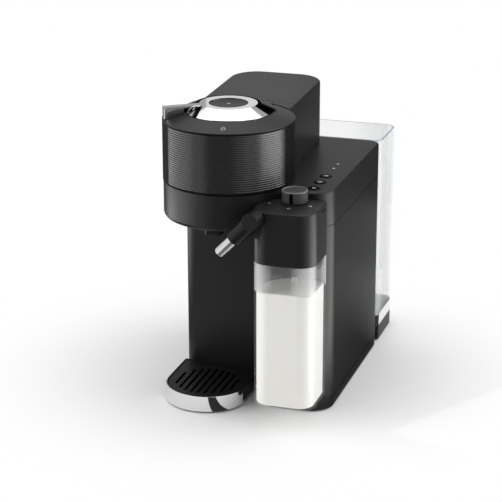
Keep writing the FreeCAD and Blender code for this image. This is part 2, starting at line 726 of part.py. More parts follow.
def lever_ring():
    """Polished ring with its sloping front skirt and the lever arm."""
    ring_low = RING_TOP_Z - RING_T
    foot_z = GUIDE_FLOOR_Z + CLEAR
    ring = lathe([
        (BUTTON_R + CLEAR, ring_low), (BUTTON_R + CLEAR, RING_TOP_Z), (RING_R, RING_TOP_Z),
        (RING_R, ring_low), (GUIDE_R + 2 * GUIDE_T, ring_low), (GUIDE_R + 2 * GUIDE_T, foot_z),
        (GUIDE_R + RUN, foot_z), (GUIDE_R + RUN, ring_low),
    ], DRUM_X, DRUM_Y)
    skirt = lathe([
        (RING_R - CONE_T, RING_TOP_Z), (RING_R, RING_TOP_Z), (CONE_R, CONE_Z),
        (CONE_R, CONE_Z - CONE_T), (RING_R - CONE_T, RING_TOP_Z - 2 * CONE_T),
    ], DRUM_X, DRUM_Y, CONE_FROM, CONE_TO - CONE_FROM)
    low = CONE_Z - 2 * CONE_T
    for x0, x1 in ((-BIG, STRIP_FROM), (SLOT_FROM, SLOT_TO)):
        skirt = skirt.cut(block(DRUM_X + x0, DRUM_X + x1, DRUM_Y - BIG, DRUM_Y, low, RING_TOP_Z + CLEAR))
    return joined(ring, skirt, lever_arm())


def lever_arm():
    """Flat arm with a stiffening web and a tab that hangs over the collar."""
    half = LEVER_W / 2
    root = (RING_R + GUIDE_R) / 2
    tip_top = RING_TOP_Z - LEVER_DROP
    side = [V(root, -half, RING_TOP_Z), V(LEVER_REACH, -half, tip_top),
            V(LEVER_REACH, -half, tip_top - LEVER_T), V(root, -half, RING_TOP_Z - RING_T)]
    plate = Part.Face(Part.makePolygon(side + side[:1])).extrude(V(0, LEVER_W, 0))
    tab_low = collar_height(LEVER_REACH - LEVER_TIP_T) + CLEAR
    tab = block(LEVER_REACH - LEVER_TIP_T, LEVER_REACH, -half, half, tab_low, tip_top - LEVER_T / 2)
    inner = COLLAR_IN_R + CLEAR
    web_points = [V(inner, 0, collar_height(inner) + CLEAR), V(LEVER_REACH, 0, tab_low),
                  V(LEVER_REACH, 0, tip_top - LEVER_T / 2), V(inner, 0, tip_top - LEVER_T / 2)]
    web = Part.Face(Part.makePolygon(web_points + web_points[:1])).extrude(V(0, LEVER_WEB_T, 0))
    arm = joined(plate, tab, web.translated(V(0, -LEVER_WEB_T / 2, 0)))
    arm.rotate(V(0, 0, 0), V(0, 0, 1), LEVER_ANGLE - 90.0)
    return arm.translated(V(DRUM_X, DRUM_Y, 0))


def brew_button():
    """Large start button in the middle of the ring."""
    top = RING_TOP_Z - CLEAR
    face = rod(BUTTON_R, DRUM_X, DRUM_Y, top - BUTTON_T, top)
    stem = rod(BUTTON_STEM_R, DRUM_X, DRUM_Y, GUIDE_FLOOR_Z - COLLAR_T, top - BUTTON_T)
    return joined(face, stem)


def brew_spring():
    """Return spring round the button's stem."""
    top = RING_TOP_Z - CLEAR - BUTTON_T
    return pipe(BUTTON_STEM_R + 2 * GUIDE_T, BUTTON_STEM_R + CLEAR, DRUM_X, DRUM_Y, GUIDE_FLOOR_Z, top)


def leaf_places(half):
    """The two places along the hinge, left and right of the middle."""
    return [DRUM_X - half, DRUM_X + half]


def frame_z0():
    """Underside of the head's carrier."""
    return HINGE_Z - KNUCKLE_R / 2 - DECK_T


def head_frame():
    """Carrier inside the head with the lugs that turn on the hinge pin."""
    radius = HEAD_R - HEAD_WALL - SNUG
    z0 = frame_z0()
    frame = pipe(radius, ROTOR_FLANGE_R, DRUM_X, DRUM_Y, z0, z0 + DECK_T)
    for x in leaf_places(LUG_HALF):
        half = HINGE_LEAF / 2
        start = V(x - half, HINGE_Y, HINGE_Z)
        arm = block(x - half, x + half, HINGE_Y - LUG_REACH, HINGE_Y, z0, HINGE_Z + KNUCKLE_R / 2)
        lug = arm.fuse(rod_along(KNUCKLE_R, start, V(1, 0, 0), HINGE_LEAF))
        frame = frame.fuse(lug)
    frame = frame.removeSplitter()
    for x in leaf_places(LUG_HALF):
        start = V(x - HINGE_LEAF, HINGE_Y, HINGE_Z)
        frame = frame.cut(rod_along(PIN_R + RUN, start, V(1, 0, 0), 2 * HINGE_LEAF))
    for x in leaf_places(HINGE_HALF):
        half = HINGE_LEAF / 2 + CLEAR
        frame = frame.cut(block(x - half, x + half, HINGE_Y - 2 * KNUCKLE_R, HINGE_Y + KNUCKLE_R,
                                z0, HINGE_Z + KNUCKLE_R))
    return frame


def piercing_plate():
    """Plate in the head that closes the rotor and pierces the pod."""
    z0 = HEAD_Z0
    frame_low = frame_z0()
    rim = ROTOR_FLANGE_R + WALL
    plate = lathe([
        (0, z0), (rim, z0), (rim, frame_low), (rim - WALL, frame_low),
        (rim - WALL, z0 + WALL), (0, z0 + WALL),
    ], DRUM_X, DRUM_Y)
    needle_low = ROTOR_TOP_Z - ROTOR_WALL * 2
    needle = Part.makeCone(PIN_R / 4, PIN_R, z0 - needle_low, V(DRUM_X, DRUM_Y, needle_low))
    return joined(plate, needle)


def chamber_seal():
    """Soft ring under the head that closes on the drum's trough."""
    low = HEAD_Z0 - HEAD_SEAM / 3
    inner = ROTOR_FLANGE_R + WALL + SNUG
    return pipe(HEAD_R - HEAD_WALL - SNUG, inner, DRUM_X, DRUM_Y, low, low + WALL)


def hinge_bracket():
    """Two posts on the cover, joined by a foot, that hold the hinge pin."""
    half = HINGE_LEAF / 2
    foot_y0, foot_y1 = HINGE_Y - half + CLEAR, HINGE_Y + 2 * KNUCKLE_R
    left, right = leaf_places(HINGE_HALF)
    bracket = block(left - half, right + half, foot_y0, foot_y1, TOP_Z, TOP_Z + DECK_T)
    for x in (left, right):
        start = V(x - half, HINGE_Y, HINGE_Z)
        post = block(x - half, x + half, foot_y0, HINGE_Y + KNUCKLE_R, TOP_Z, HINGE_Z)
        bracket = bracket.fuse(post.fuse(rod_along(KNUCKLE_R, start, V(1, 0, 0), HINGE_LEAF)))
    bracket = bracket.removeSplitter()
    bore = rod_along(PIN_R + SNUG, V(left - HINGE_LEAF, HINGE_Y, HINGE_Z), V(1, 0, 0), BIG)
    return bracket.cut(bore)


def hinge_pin():
    """Pin through the posts and the head's lugs."""
    half = HINGE_HALF + HINGE_LEAF / 2
    return rod_along(PIN_R, V(DRUM_X - half, HINGE_Y, HINGE_Z), V(1, 0, 0), 2 * half)


def bin_form(inset, z0, lift):
    """The hump: straight sides, round rear corners and a top that rises to the rear."""
    half = BIN_HALF - inset
    front = BIN_FRONT_Y if inset == 0 else BIN_CAVITY_Y
    rear = HOUSING_REAR_Y - inset
    corner = BIN_REAR_R - inset
    left, right = DRUM_X - half, DRUM_X + half
    form = slab([(left, front), (right, front), (right, rear), (left, rear)],
                [0, 0, corner, corner], z0, BIN_TOP_Z + BIN_HALF)
    lean = math.degrees(math.atan(BIN_SLOPE))
    roof = Part.makeBox(BIG, BIG, BIG, V(DRUM_X - BIG / 2, -BIG / 2, 0))
    roof.rotate(V(DRUM_X, 0, 0), V(1, 0, 0), lean)
    roof.translate(V(0, HINGE_Y, BIN_TOP_Z + lift))
    return form.cut(roof)


def hump(z0):
    """The hump's outer form with its rounded upper edge."""
    form = bin_form(0, z0, 0)
    return form.makeFillet(BIN_EDGE_R, [e for e in form.Edges if e.BoundBox.ZMin > BIN_TOP_Z - BIN_WALL])


def hinge_niche(z0):
    """Room round the hinge posts."""
    reach = HINGE_HALF + HINGE_LEAF / 2 + BIN_GAP
    back = HINGE_Y + 2 * KNUCKLE_R + BIN_GAP
    return block(DRUM_X - reach, DRUM_X + reach, BIN_FRONT_Y, back, z0, HINGE_Z + KNUCKLE_R + CLEAR)


def hinge_notch():
    """Room for the lugs and for the cap that turns above them."""
    half = LUG_HALF + HINGE_LEAF
    turn = rod_along(CAP_R + CLEAR, V(DRUM_X - half, HINGE_Y, HINGE_Z), V(1, 0, 0), 2 * half)
    return turn.fuse(block(DRUM_X - half, DRUM_X + half, BIN_FRONT_Y, HINGE_Y, HINGE_Z, HINGE_Z + BIN_HALF))


def capsule_bin():
    """Used-capsule bin that stands on the cover behind the hinge."""
    floor = TOP_Z + SEAT
    shell = hump(floor).cut(bin_form(BIN_WALL, floor + BIN_WALL, -BIN_WALL))
    shell = shell.cut(hinge_niche(floor)).cut(hinge_notch())
    mouth = LUG_HALF
    shell = shell.cut(block(DRUM_X - mouth, DRUM_X + mouth, BIN_FRONT_Y, BIN_CAVITY_Y + BIN_WALL,
                            floor + 2 * BIN_WALL, HINGE_Z - 2 * KNUCKLE_R))
    return shell.cut(block(DRUM_X - BIG, DRUM_X + BIG, BIN_FRONT_Y - CLEAR, HINGE_Y + CLEAR, floor,
                           HINGE_Z + BIN_HALF))


def hinge_cheeks():
    """Fixed cheeks that carry the hump's line forward to the drum on both sides of the hinge."""
    cheeks = hump(TOP_Z).cut(hinge_niche(TOP_Z)).cut(hinge_notch())
    cheeks = cheeks.cut(block(DRUM_X - BIG, DRUM_X + BIG, HINGE_Y, BIG, TOP_Z, HINGE_Z + BIN_HALF))
    return cheeks.cut(rod(HEAD_R + CHEEK_GAP, DRUM_X, DRUM_Y, TOP_Z, BIN_TOP_Z + BIN_HALF))


def drip_tray():
    """Basin that slides onto the base's tongue."""
    outer = TRAY_R - BAND_W
    back = SPINE_FRONT_Y - TRAY_BACK_GAP
    z0 = TONGUE_TOP_Z + SEAT
    basin = tray_slab(outer, back, z0, TRAY_TOP_Z)
    inner = tray_slab(outer - TRAY_WALL, back - TRAY_WALL, z0 + TRAY_FLOOR, TRAY_TOP_Z)
    ledge_z = TRAY_TOP_Z - GRID_T - GRID_SINK
    ledge = tray_slab(outer - TRAY_WALL, back - TRAY_WALL, ledge_z - GRID_LEDGE, ledge_z)
    hole = outer - TRAY_WALL - GRID_LEDGE
    ledge = ledge.cut(tray_slab(hole, back - TRAY_WALL - GRID_LEDGE, ledge_z - GRID_LEDGE, ledge_z))
    return joined(basin.cut(inner), ledge)


def drip_band():
    """Polished band round the front of the tray."""
    return lathe([
        (TRAY_R - BAND_W, BAND_Z0), (TRAY_R, BAND_Z0), (TRAY_R, TRAY_TOP_Z), (TRAY_R - BAND_W, TRAY_TOP_Z),
    ], TRAY_X, TRAY_Y, -BAND_SPREAD, 2 * BAND_SPREAD)


def cup_grid():
    """Slotted plate under the cup."""
    outer = TRAY_R - BAND_W - TRAY_WALL - CLEAR
    back = SPINE_FRONT_Y - TRAY_BACK_GAP - TRAY_WALL - CLEAR
    z1 = TRAY_TOP_Z - GRID_SINK
    plate = tray_slab(outer, back, z1 - GRID_T, z1)
    reach = outer - GRID_LEDGE - GRID_SLOT_PITCH
    count = 2 * math.floor(reach / GRID_SLOT_PITCH) + 1
    for i in range(count):
        x = TRAY_X + (i - (count - 1) / 2) * GRID_SLOT_PITCH
        chord = math.sqrt((outer - GRID_SLOT_PITCH) ** 2 - (x - TRAY_X) ** 2)
        half = GRID_SLOT_W / 2
        slot = block(x - half, x + half, TRAY_Y - chord, TRAY_Y + chord, z1 - GRID_T, z1)
        plate = plate.cut(slot)
    return plate


def milk_carafe():
    """Clear carafe, open at the top, with a groove above its foot."""
    shell = carafe_slab(0, CARAFE_Z0, LID_Z0)
    shell = shell.makeFillet(CARAFE_WALL, upper_edges(shell, CARAFE_Z0))
    shell = shell.cut(carafe_slab(CARAFE_WALL, CARAFE_Z0 + CARAFE_WALL, LID_Z0))
    groove_z = CARAFE_FOOT_Z + CARAFE_GROOVE
    ring = carafe_slab(0, CARAFE_FOOT_Z, groove_z).cut(carafe_slab(CARAFE_GROOVE, CARAFE_FOOT_Z, groove_z))
    return shell.cut(ring)


def carafe_lid():
    """Hollow lid with the plug, the knob's bore, the spout's boss and the steam port."""
    outer = carafe_slab(0, LID_Z0 + SEAT, LID_TOP_Z)
    outer = outer.makeFillet(LID_EDGE_R, upper_edges(outer, LID_TOP_Z))
    plug_low = LID_Z0 - LID_PLUG
    plug = carafe_slab(CARAFE_WALL + CLEAR, plug_low, LID_Z0 + SEAT)
    hollow = CARAFE_WALL + CLEAR + LID_WALL
    room = carafe_slab(hollow, plug_low + LID_WALL, LID_TOP_Z - LID_WALL - KNOB_STEM_L)
    lid = joined(outer, plug).cut(room)
    anchor = V(SPOUT_X, SPOUT_Y, SPOUT_Z)
    lid = joined(lid, rod_along(BOSS_R, anchor - V(0, 0, BOSS_DROP), SPOUT_AXIS, BOSS_L))
    lid = lid.cut(rod_along(SPOUT_CAP_R + CLEAR, anchor + SPOUT_AXIS * BOSS_L, SPOUT_AXIS, BOSS_L))
    lid = lid.cut(rod(KNOB_STEM_R + RUN, KNOB_X, KNOB_Y, LID_TOP_Z - KNOB_STEM_L - SEAT, LID_TOP_Z))
    bore_start = anchor + SPOUT_AXIS * (HUB_OUT - SPOUT_PIN_L - SEAT)
    lid = lid.cut(rod_along(SPOUT_PIN_R + RUN, bore_start, SPOUT_AXIS, SPOUT_PIN_L + BOSS_R))
    lid = lid.cut(rod(PICKUP_R + SNUG, KNOB_X, KNOB_Y, plug_low, plug_low + LID_WALL))
    port = rod_along(SPIGOT_R + RUN, V(KNOB_X, CARAFE_BACK_Y, CONNECTOR_Z), V(0, -1, 0), hollow + CLEAR)
    slit_z = LID_TOP_Z - 2 * LID_WALL
    slit = block(CARAFE_X1 - LID_WALL / 2, CARAFE_X1, KNOB_Y - KNOB_R, KNOB_Y, slit_z, slit_z + LID_WALL / 2)
    return lid.cut(port).cut(slit)


def lid_seal():
    """Soft ring round the lid's plug."""
    z0 = LID_Z0 - LID_PLUG / 2
    ring = carafe_slab(CARAFE_WALL + SEAT / 2, z0, z0 + SEAL_H)
    return ring.cut(carafe_slab(CARAFE_WALL + CLEAR, z0, z0 + SEAL_H))


def froth_knob():
    """Froth selector with a dished top and a stem in the lid."""
    z0, z1 = LID_TOP_Z + CLEAR, LID_TOP_Z + CLEAR + KNOB_H
    rim = KNOB_R - LID_EDGE_R
    cap = lathe([
        (0, z0), (KNOB_R, z0), (KNOB_R, z1 - LID_EDGE_R), (rim, z1), (rim - LID_EDGE_R, z1),
        (rim - 2 * LID_EDGE_R, z1 - KNOB_DISH), (0, z1 - KNOB_DISH),
    ], KNOB_X, KNOB_Y)
    return joined(cap, rod(KNOB_STEM_R, KNOB_X, KNOB_Y, LID_TOP_Z - KNOB_STEM_L, z0))


def milk_spout():
    """Barrel that swivels on the lid's boss."""
    anchor = V(SPOUT_X, SPOUT_Y, SPOUT_Z)
    centre = anchor + SPOUT_AXIS * BARREL_OUT
    hub_start = anchor + SPOUT_AXIS * HUB_OUT
    hub = rod_along(SPOUT_CAP_R, hub_start, SPOUT_AXIS, CAP_OUT - HUB_OUT)
    barrel = rod_along(SPOUT_BARREL_R, centre, spout_way(), BARREL_L)
    pin = rod_along(SPOUT_PIN_R, hub_start, SPOUT_AXIS * -1, SPOUT_PIN_L)
    bore = rod_along(TIP_BORE_R, centre + spout_way() * SPOUT_CAP_R, spout_way(), BARREL_L)
    return hub.fuse([barrel, pin]).cut(bore)


def spout_way():
    """Direction in which the milk runs out."""
    drop = math.radians(SPOUT_DROP)
    return SPOUT_SIDE * math.cos(drop) + V(0, 0, -math.sin(drop))


def spout_tip():
    """Bright nozzle pushed onto the barrel's end."""
    centre = V(SPOUT_X, SPOUT_Y, SPOUT_Z) + SPOUT_AXIS * BARREL_OUT
    start = centre + spout_way() * BARREL_L
    cone = Part.makeCone(TIP_R0, TIP_R1, TIP_L, start, spout_way())
    return cone.cut(rod_along(TIP_BORE_R, start, spout_way(), TIP_L))


def milk_pickup():
    """Tube from the lid down to the carafe's floor."""
    z1 = LID_Z0 - LID_PLUG + LID_WALL
    return pipe(PICKUP_R, PICKUP_BORE_R, KNOB_X, KNOB_Y, PICKUP_END_Z, z1)


def steam_connector():
    """Steam nozzle in the column's front with the spigot that carries the lid."""
    back = V(KNOB_X, COLUMN_FRONT_Y + CONNECTOR_L, CONNECTOR_Z)
    forward = V(0, -1, 0)
    length = CONNECTOR_L + CARAFE_BACK_GAP + SPIGOT_L
    nozzle = rod_along(CONNECTOR_R, back, forward, CONNECTOR_L)
    nozzle = joined(nozzle, rod_along(SPIGOT_R, back, forward, length))
    return nozzle.cut(rod_along(CONNECTOR_BORE_R, back, forward, length))


def tank_dock():
    """Foot behind the housing on which the tank stands."""
    dock = tank_slab(0, FOOT_H, DOCK_TOP_Z)
    tie = block(TANK_LEFT_X + TANK_R, RIGHT_X - TANK_R, HOUSING_REAR_Y, TANK_Y0 + TANK_R, FOOT_H, PLINTH_Z)
    dock = joined(dock, tie)
    dock = dock.cut(tank_slab(WALL, FOOT_H, DOCK_TOP_Z - WALL))
    for x in (TANK_LEFT_X + 2 * TANK_R, RIGHT_X - 2 * TANK_R):
        dock = dock.fuse(rod(FOOT_R, x, tank_middle_y(), 0, DOCK_TOP_Z - WALL))
    dock = dock.removeSplitter()
    seat = SEAT_R + SNUG
    return dock.cut(rod(seat, FLOW_X, tank_middle_y(), DOCK_TOP_Z - WALL, DOCK_TOP_Z))


def tank_middle_y():
    """The tank's middle from front to back."""
    return (TANK_Y0 + TANK_Y1) / 2


def valve_seat():
    """Pipe in the dock that opens the tank's valve."""
    z1 = BAND_TOP_Z - VALVE_DROP - CLEAR
    return pipe(SEAT_R, SEAT_BORE_R, FLOW_X, tank_middle_y(), DOCK_TOP_Z - WALL, z1)


def tank_band():
    """Silver skirt under the tank."""
    z0 = DOCK_TOP_Z + SEAT
    return tank_slab(0, z0, BAND_TOP_Z).cut(tank_slab(TANK_WALL, z0, BAND_TOP_Z))


def tank_shell():
    """Clear tank, open at the top."""
    shell = tank_slab(0, BAND_TOP_Z, TANK_TOP_Z)
    shell = shell.cut(tank_slab(TANK_WALL, BAND_TOP_Z + TANK_WALL, TANK_TOP_Z))
    return shell.cut(rod(VALVE_R / 2 + SNUG, FLOW_X, tank_middle_y(), BAND_TOP_Z, BAND_TOP_Z + TANK_WALL))


def tank_valve():
    """Spring valve in the tank's floor."""
    y = tank_middle_y()
    stem = rod(VALVE_R / 2, FLOW_X, y, BAND_TOP_Z, BAND_TOP_Z + 2 * TANK_WALL)
    return joined(rod(VALVE_R, FLOW_X, y, BAND_TOP_Z - VALVE_DROP, BAND_TOP_Z), stem)


def water_pump():
    """Vibrating pump standing on the base."""
    z0 = BASE_TOP + CUSHION_T
    half = PUMP_CORE / 2
    mid = z0 + PUMP_L / 2
    core = block(PUMP_X - half, PUMP_X + half, PUMP_Y - half, PUMP_Y + half, mid - half, mid + half)
    return joined(rod(PUMP_R / 2, PUMP_X, PUMP_Y, z0, z0 + PUMP_L), core)


def pump_cushion():
    """Rubber pad that takes the pump's shake."""
    return rod(PUMP_R, PUMP_X, PUMP_Y, BASE_TOP, BASE_TOP + CUSHION_T)


def thermoblock():
    """Heater block on two feet."""
    heater = block(BOILER_X0, BOILER_X1, BOILER_Y0, BOILER_Y1, BOILER_Z0, BOILER_Z1)
    for y in (BOILER_Y0, BOILER_Y1 - BOILER_FOOT):
        heater = heater.fuse(block(BOILER_X0, BOILER_X1, y, y + BOILER_FOOT, BASE_TOP, BOILER_Z0))
    return heater.removeSplitter()


def flow_meter():
    """Flow meter on the base, ahead of the tank's valve."""
    return rod(FLOW_R, FLOW_X, FLOW_Y, BASE_TOP, BASE_TOP + FLOW_H)


def water_hose():
    """Hose from the flow meter to the pump, in straight runs with one bend."""
    z = BASE_TOP + FLOW_H / 2
    start = V(FLOW_X + FLOW_R, FLOW_Y, z)
    end = V(PUMP_X, PUMP_Y + PUMP_R / 2, z)
    bend = end.y - start.y
    corner = V(PUMP_X, FLOW_Y, z)
    reach = abs(bend) / 2
    first = V(corner.x - reach, corner.y, z)
    last = V(corner.x, corner.y - reach, z)
    centre = V(first.x, last.y, z)
    middle = centre + V(reach, reach, 0) * math.sqrt(0.5)
    path = Part.Wire([Part.LineSegment(start, first).toShape(), Part.Arc(first, middle, last).toShape(),
                      Part.LineSegment(last, end).toShape()])

    def sweep(radius):
        ring = Part.Wire(Part.Circle(start, V(1, 0, 0), radius).toShape())
        return path.makePipeShell([ring], True, True)
    return sweep(HOSE_R).cut(sweep(HOSE_BORE_R))


def cord_gland():
    """Bush in the left wall where a mains lead enters."""
    start = V(SPINE_LEFT_X - GLAND_PROUD, GLAND_Y, GLAND_Z)
    length = GLAND_PROUD + 2 * WALL
    bush = rod_along(GLAND_R, start, V(1, 0, 0), length)
    flange = rod_along(GLAND_R + GLAND_PROUD, start, V(1, 0, 0), GLAND_PROUD)
    return joined(bush, flange).cut(rod_along(GLAND_BORE_R, start, V(1, 0, 0), length))


def save(name, shape):
    """Write one sub-part, with the origin under the middle of the machine."""
    shape.translated(MIDDLE * -1).exportStep(os.path.join("parts", name + ".step"))


def main():
    """Build every sub-part."""
    os.makedirs("parts", exist_ok=True)
    save("base_plate", base_plate())
    save("rubber_feet", rubber_feet())
    save("base_screws", base_screws())
    save("chassis_deck", chassis_deck())
    save("column_shell", column_shell())
    save("top_cover", top_cover())
    save("cord_gland", cord_gland())
    save("indicator_lights", indicator_lights())
    save("control_board", control_board())
    for number, y in enumerate(recipe_places(), start=1):
        save("recipe_button_%d" % number, recipe_button(y))
    save("chamber_shell", chamber_shell())
    save("coffee_collector", coffee_collector())
    save("coffee_outlet", coffee_outlet())
    save("rotor_bearing", rotor_bearing())
    save("capsule_holder", capsule_holder())
    save("rotor_pulley", grooved_pulley(PULLEY_R, ROTOR_SHAFT_R, DRUM_X, DRUM_Y))
    save("drive_belt", drive_belt())
    save("motor_body", motor_body())
    save("motor_shaft", motor_shaft())
    save("motor_pulley", grooved_pulley(MOTOR_PULLEY_R, MOTOR_SHAFT_R, DRUM_X, MOTOR_Y))
    save("head_shell", head_shell())
    save("head_band", head_band())
    save("head_collar", head_collar())
    save("head_frame", head_frame())
    save("piercing_plate", piercing_plate())
    save("chamber_seal", chamber_seal())
    save("lever_ring", lever_ring())
    save("brew_button", brew_button())
    save("brew_spring", brew_spring())
    save("hinge_bracket", hinge_bracket())
    save("hinge_pin", hinge_pin())
    save("hinge_cheeks", hinge_cheeks())
    save("capsule_bin", capsule_bin())
    save("drip_tray", drip_tray())
    save("drip_band", drip_band())
    save("cup_grid", cup_grid())
    save("milk_carafe", milk_carafe())
    save("carafe_lid", carafe_lid())
    save("lid_seal", lid_seal())
    save("froth_knob", froth_knob())
    save("milk_spout", milk_spout())
    save("spout_tip", spout_tip())
    save("milk_pickup", milk_pickup())
    save("steam_connector", steam_connector())
    save("tank_dock", tank_dock())
    save("valve_seat", valve_seat())
    save("tank_band", tank_band())
    save("tank_shell", tank_shell())
    save("tank_valve", tank_valve())
    save("water_pump", water_pump())
    save("pump_cushion", pump_cushion())
    save("thermoblock", thermoblock())
    save("flow_meter", flow_meter())
    save("water_hose", water_hose())


main()
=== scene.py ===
"""Looks of the pod coffee machine: finishes, fine pieces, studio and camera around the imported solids.

Lengths in the dataclasses are millimetres, plan angles are degrees from the front (-Y) towards +X.
"""
import json
import logging
import math
from dataclasses import dataclass
from enum import Enum
from functools import cached_property
from typing import Any, Iterable, Sequence

import bmesh
import bpy
from bmesh.types import BMesh, BMVert
from bpy.types import Material, Node, NodeSocket, NodeTree, Object
from mathutils import Matrix, Vector
from mathutils.bvhtree import BVHTree

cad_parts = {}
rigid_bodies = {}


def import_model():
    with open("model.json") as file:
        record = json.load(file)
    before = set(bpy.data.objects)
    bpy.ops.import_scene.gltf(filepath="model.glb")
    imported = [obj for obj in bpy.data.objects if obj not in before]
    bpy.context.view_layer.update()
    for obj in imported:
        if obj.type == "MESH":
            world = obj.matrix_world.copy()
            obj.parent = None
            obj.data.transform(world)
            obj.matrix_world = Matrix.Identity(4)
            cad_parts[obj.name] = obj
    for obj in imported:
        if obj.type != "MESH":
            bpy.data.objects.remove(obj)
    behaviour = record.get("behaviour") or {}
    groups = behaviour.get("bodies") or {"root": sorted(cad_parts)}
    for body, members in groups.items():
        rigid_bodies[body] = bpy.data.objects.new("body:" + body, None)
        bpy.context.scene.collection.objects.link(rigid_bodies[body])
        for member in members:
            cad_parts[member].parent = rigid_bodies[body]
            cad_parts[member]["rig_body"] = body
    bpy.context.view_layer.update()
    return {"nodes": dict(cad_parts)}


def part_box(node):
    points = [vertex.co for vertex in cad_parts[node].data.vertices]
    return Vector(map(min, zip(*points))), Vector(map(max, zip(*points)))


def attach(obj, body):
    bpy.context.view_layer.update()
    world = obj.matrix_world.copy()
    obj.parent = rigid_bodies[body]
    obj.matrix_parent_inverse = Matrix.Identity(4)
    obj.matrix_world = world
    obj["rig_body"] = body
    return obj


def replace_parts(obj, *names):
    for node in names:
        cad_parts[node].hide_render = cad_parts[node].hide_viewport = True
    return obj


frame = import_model()
LOG = logging.getLogger("coffee_machine")
MM = 0.001
MERGE = MM / 1000  # corners nearer than this are one, in metres
FLAT = 0.4  # facets that turn less than this are one, in degrees
FINE = 96  # facets of a turned button
INK_Z = (-0.02, 0.05)  # foot and top of printed ink above its surface
MILK_TOP = 148.0
CLOUD_W, FLOW_W, CREAM_W, SPECK_W = 45.0, 30.0, 25.0, 0.4  # widths of the wandering tones
STREAK_L = 12.0  # length of a polishing streak to its width
PLASTIC_INDEX, RESIN_INDEX, MILK_INDEX = 1.53, 1.49, 1.35  # of refraction
SHEEN_SHARE = (0.2, 0.95)  # shares of the way to a corner where the painted sheen starts and ends
SHEEN_FADE = (-3.0, 1.0)  # heights about its start over which the painted sheen sets in
CARD_Z = 0.0005  # height of the cards that lie on the floor, in metres
BLACK, WHITE = "#000000", "#ffffff"
UP, BACK = Vector((0, 0, 1)), Vector((0, 1, 0))
Inputs = dict[Any, Any]
Point = tuple[float, float]
Place = tuple[float, float, float]
MarkSize = tuple[float, float]  # half height and line width


def srgb(code: str) -> tuple[float, float, float, float]:
    """Turns a hex sRGB colour into linear red, green, blue and alpha.

    Args:
        code: Six hex digits, with or without a leading hash.

    Returns:
        The linear colour with full alpha.
    """
    parts = [int(code.lstrip("#")[i:i + 2], 16) / 255 for i in (0, 2, 4)]
    linear = [c / 12.92 if c <= 0.04045 else ((c + 0.055) / 1.055) ** 2.4 for c in parts]
    return (linear[0], linear[1], linear[2], 1.0)


def feed(tree: NodeTree, node: Node, inputs: Inputs) -> None:
    """Sets or links inputs of a node.

    Args:
        tree: The node's tree.
        node: The node.
        inputs: Input name or number to a value, or to the output socket that feeds it.
    """
    for key, value in inputs.items():
        if isinstance(value, NodeSocket):
            tree.links.new(value, node.inputs[key])
        else:
            node.inputs[key].default_value = value


def add_node(tree: NodeTree, kind: str, inputs: Inputs | None = None, **settings: Any) -> Node:
    """Adds a node with its settings and inputs.

    Args:
        tree: The tree that takes the node.
        kind: The node's type name.
        inputs: Its inputs, as feed takes them.
        **settings: Attributes of the node itself.

    Returns:
        The new node.
    """
    node = tree.nodes.new(kind)
    for key, value in settings.items():
        setattr(node, key, value)
    feed(tree, node, inputs or {})
    return node


class Tree:
    """A node tree that grows node by node."""

    tree: NodeTree

    def add(self, kind: str, output: str, inputs: Inputs | None = None, **settings: Any) -> NodeSocket:
        """Adds a node as add_node does and gives one of its outputs."""
        return add_node(self.tree, kind, inputs, **settings).outputs[output]


class Shading(Tree):
    """A new material's tree, with the nodes that the finishes share."""

    def __init__(self, label: str) -> None:
        """Makes the material.

        Args:
            label: Its name.
        """
        self.material = bpy.data.materials.new(label)
        self.material.use_nodes = True
        self.tree = self.material.node_tree
        self.shader = self.tree.nodes["Principled BSDF"]

    @cached_property
    def place(self) -> NodeSocket:
        """Place on the piece, in metres."""
        return self.add("ShaderNodeTexCoord", "Object")

    def noise(self, width: float, detail: float = 2.0) -> NodeSocket:
        """Noise of a width in millimetres, from 0 to 1."""
        return self.add("ShaderNodeTexNoise", "Fac", {
            "Vector": self.place, "Scale": 1 / (width * MM), "Detail": detail})

    def tone(self, share: NodeSocket, colour: str, other: str) -> NodeSocket:
        """Two colours mixed by a share of the second."""
        return add_node(self.tree, "ShaderNodeMix", {0: share, 6: srgb(colour), 7: srgb(other)},
                        data_type="RGBA").outputs[2]

    def span(self, value: NodeSocket, low: float, high: float, start: float = 0.0, end: float = 1.0,
             **settings: Any) -> NodeSocket:
        """Stretches a value that runs from start to end to run from low to high."""
        return self.add("ShaderNodeMapRange", "Result", {
            "Value": value, "From Min": start, "From Max": end, "To Min": low, "To Max": high}, **settings)

    def bump(self, height: NodeSocket, strength: float, relief: float) -> NodeSocket:
        """Normal of a relief whose height is in millimetres."""
        return self.add("ShaderNodeBump", "Normal", {
            "Height": height, "Strength": strength, "Distance": relief * MM})

    def sum(self, operation: str, *values: Any) -> NodeSocket:
        """Result of a sum on one or two values."""
        return self.add("ShaderNodeMath", "Value", dict(enumerate(values)), operation=operation)

    def done(self, inputs: dict[str, Any]) -> Material:
        """Sets the shader's inputs and gives the material."""
        feed(self.tree, self.shader, inputs)
        return self.material


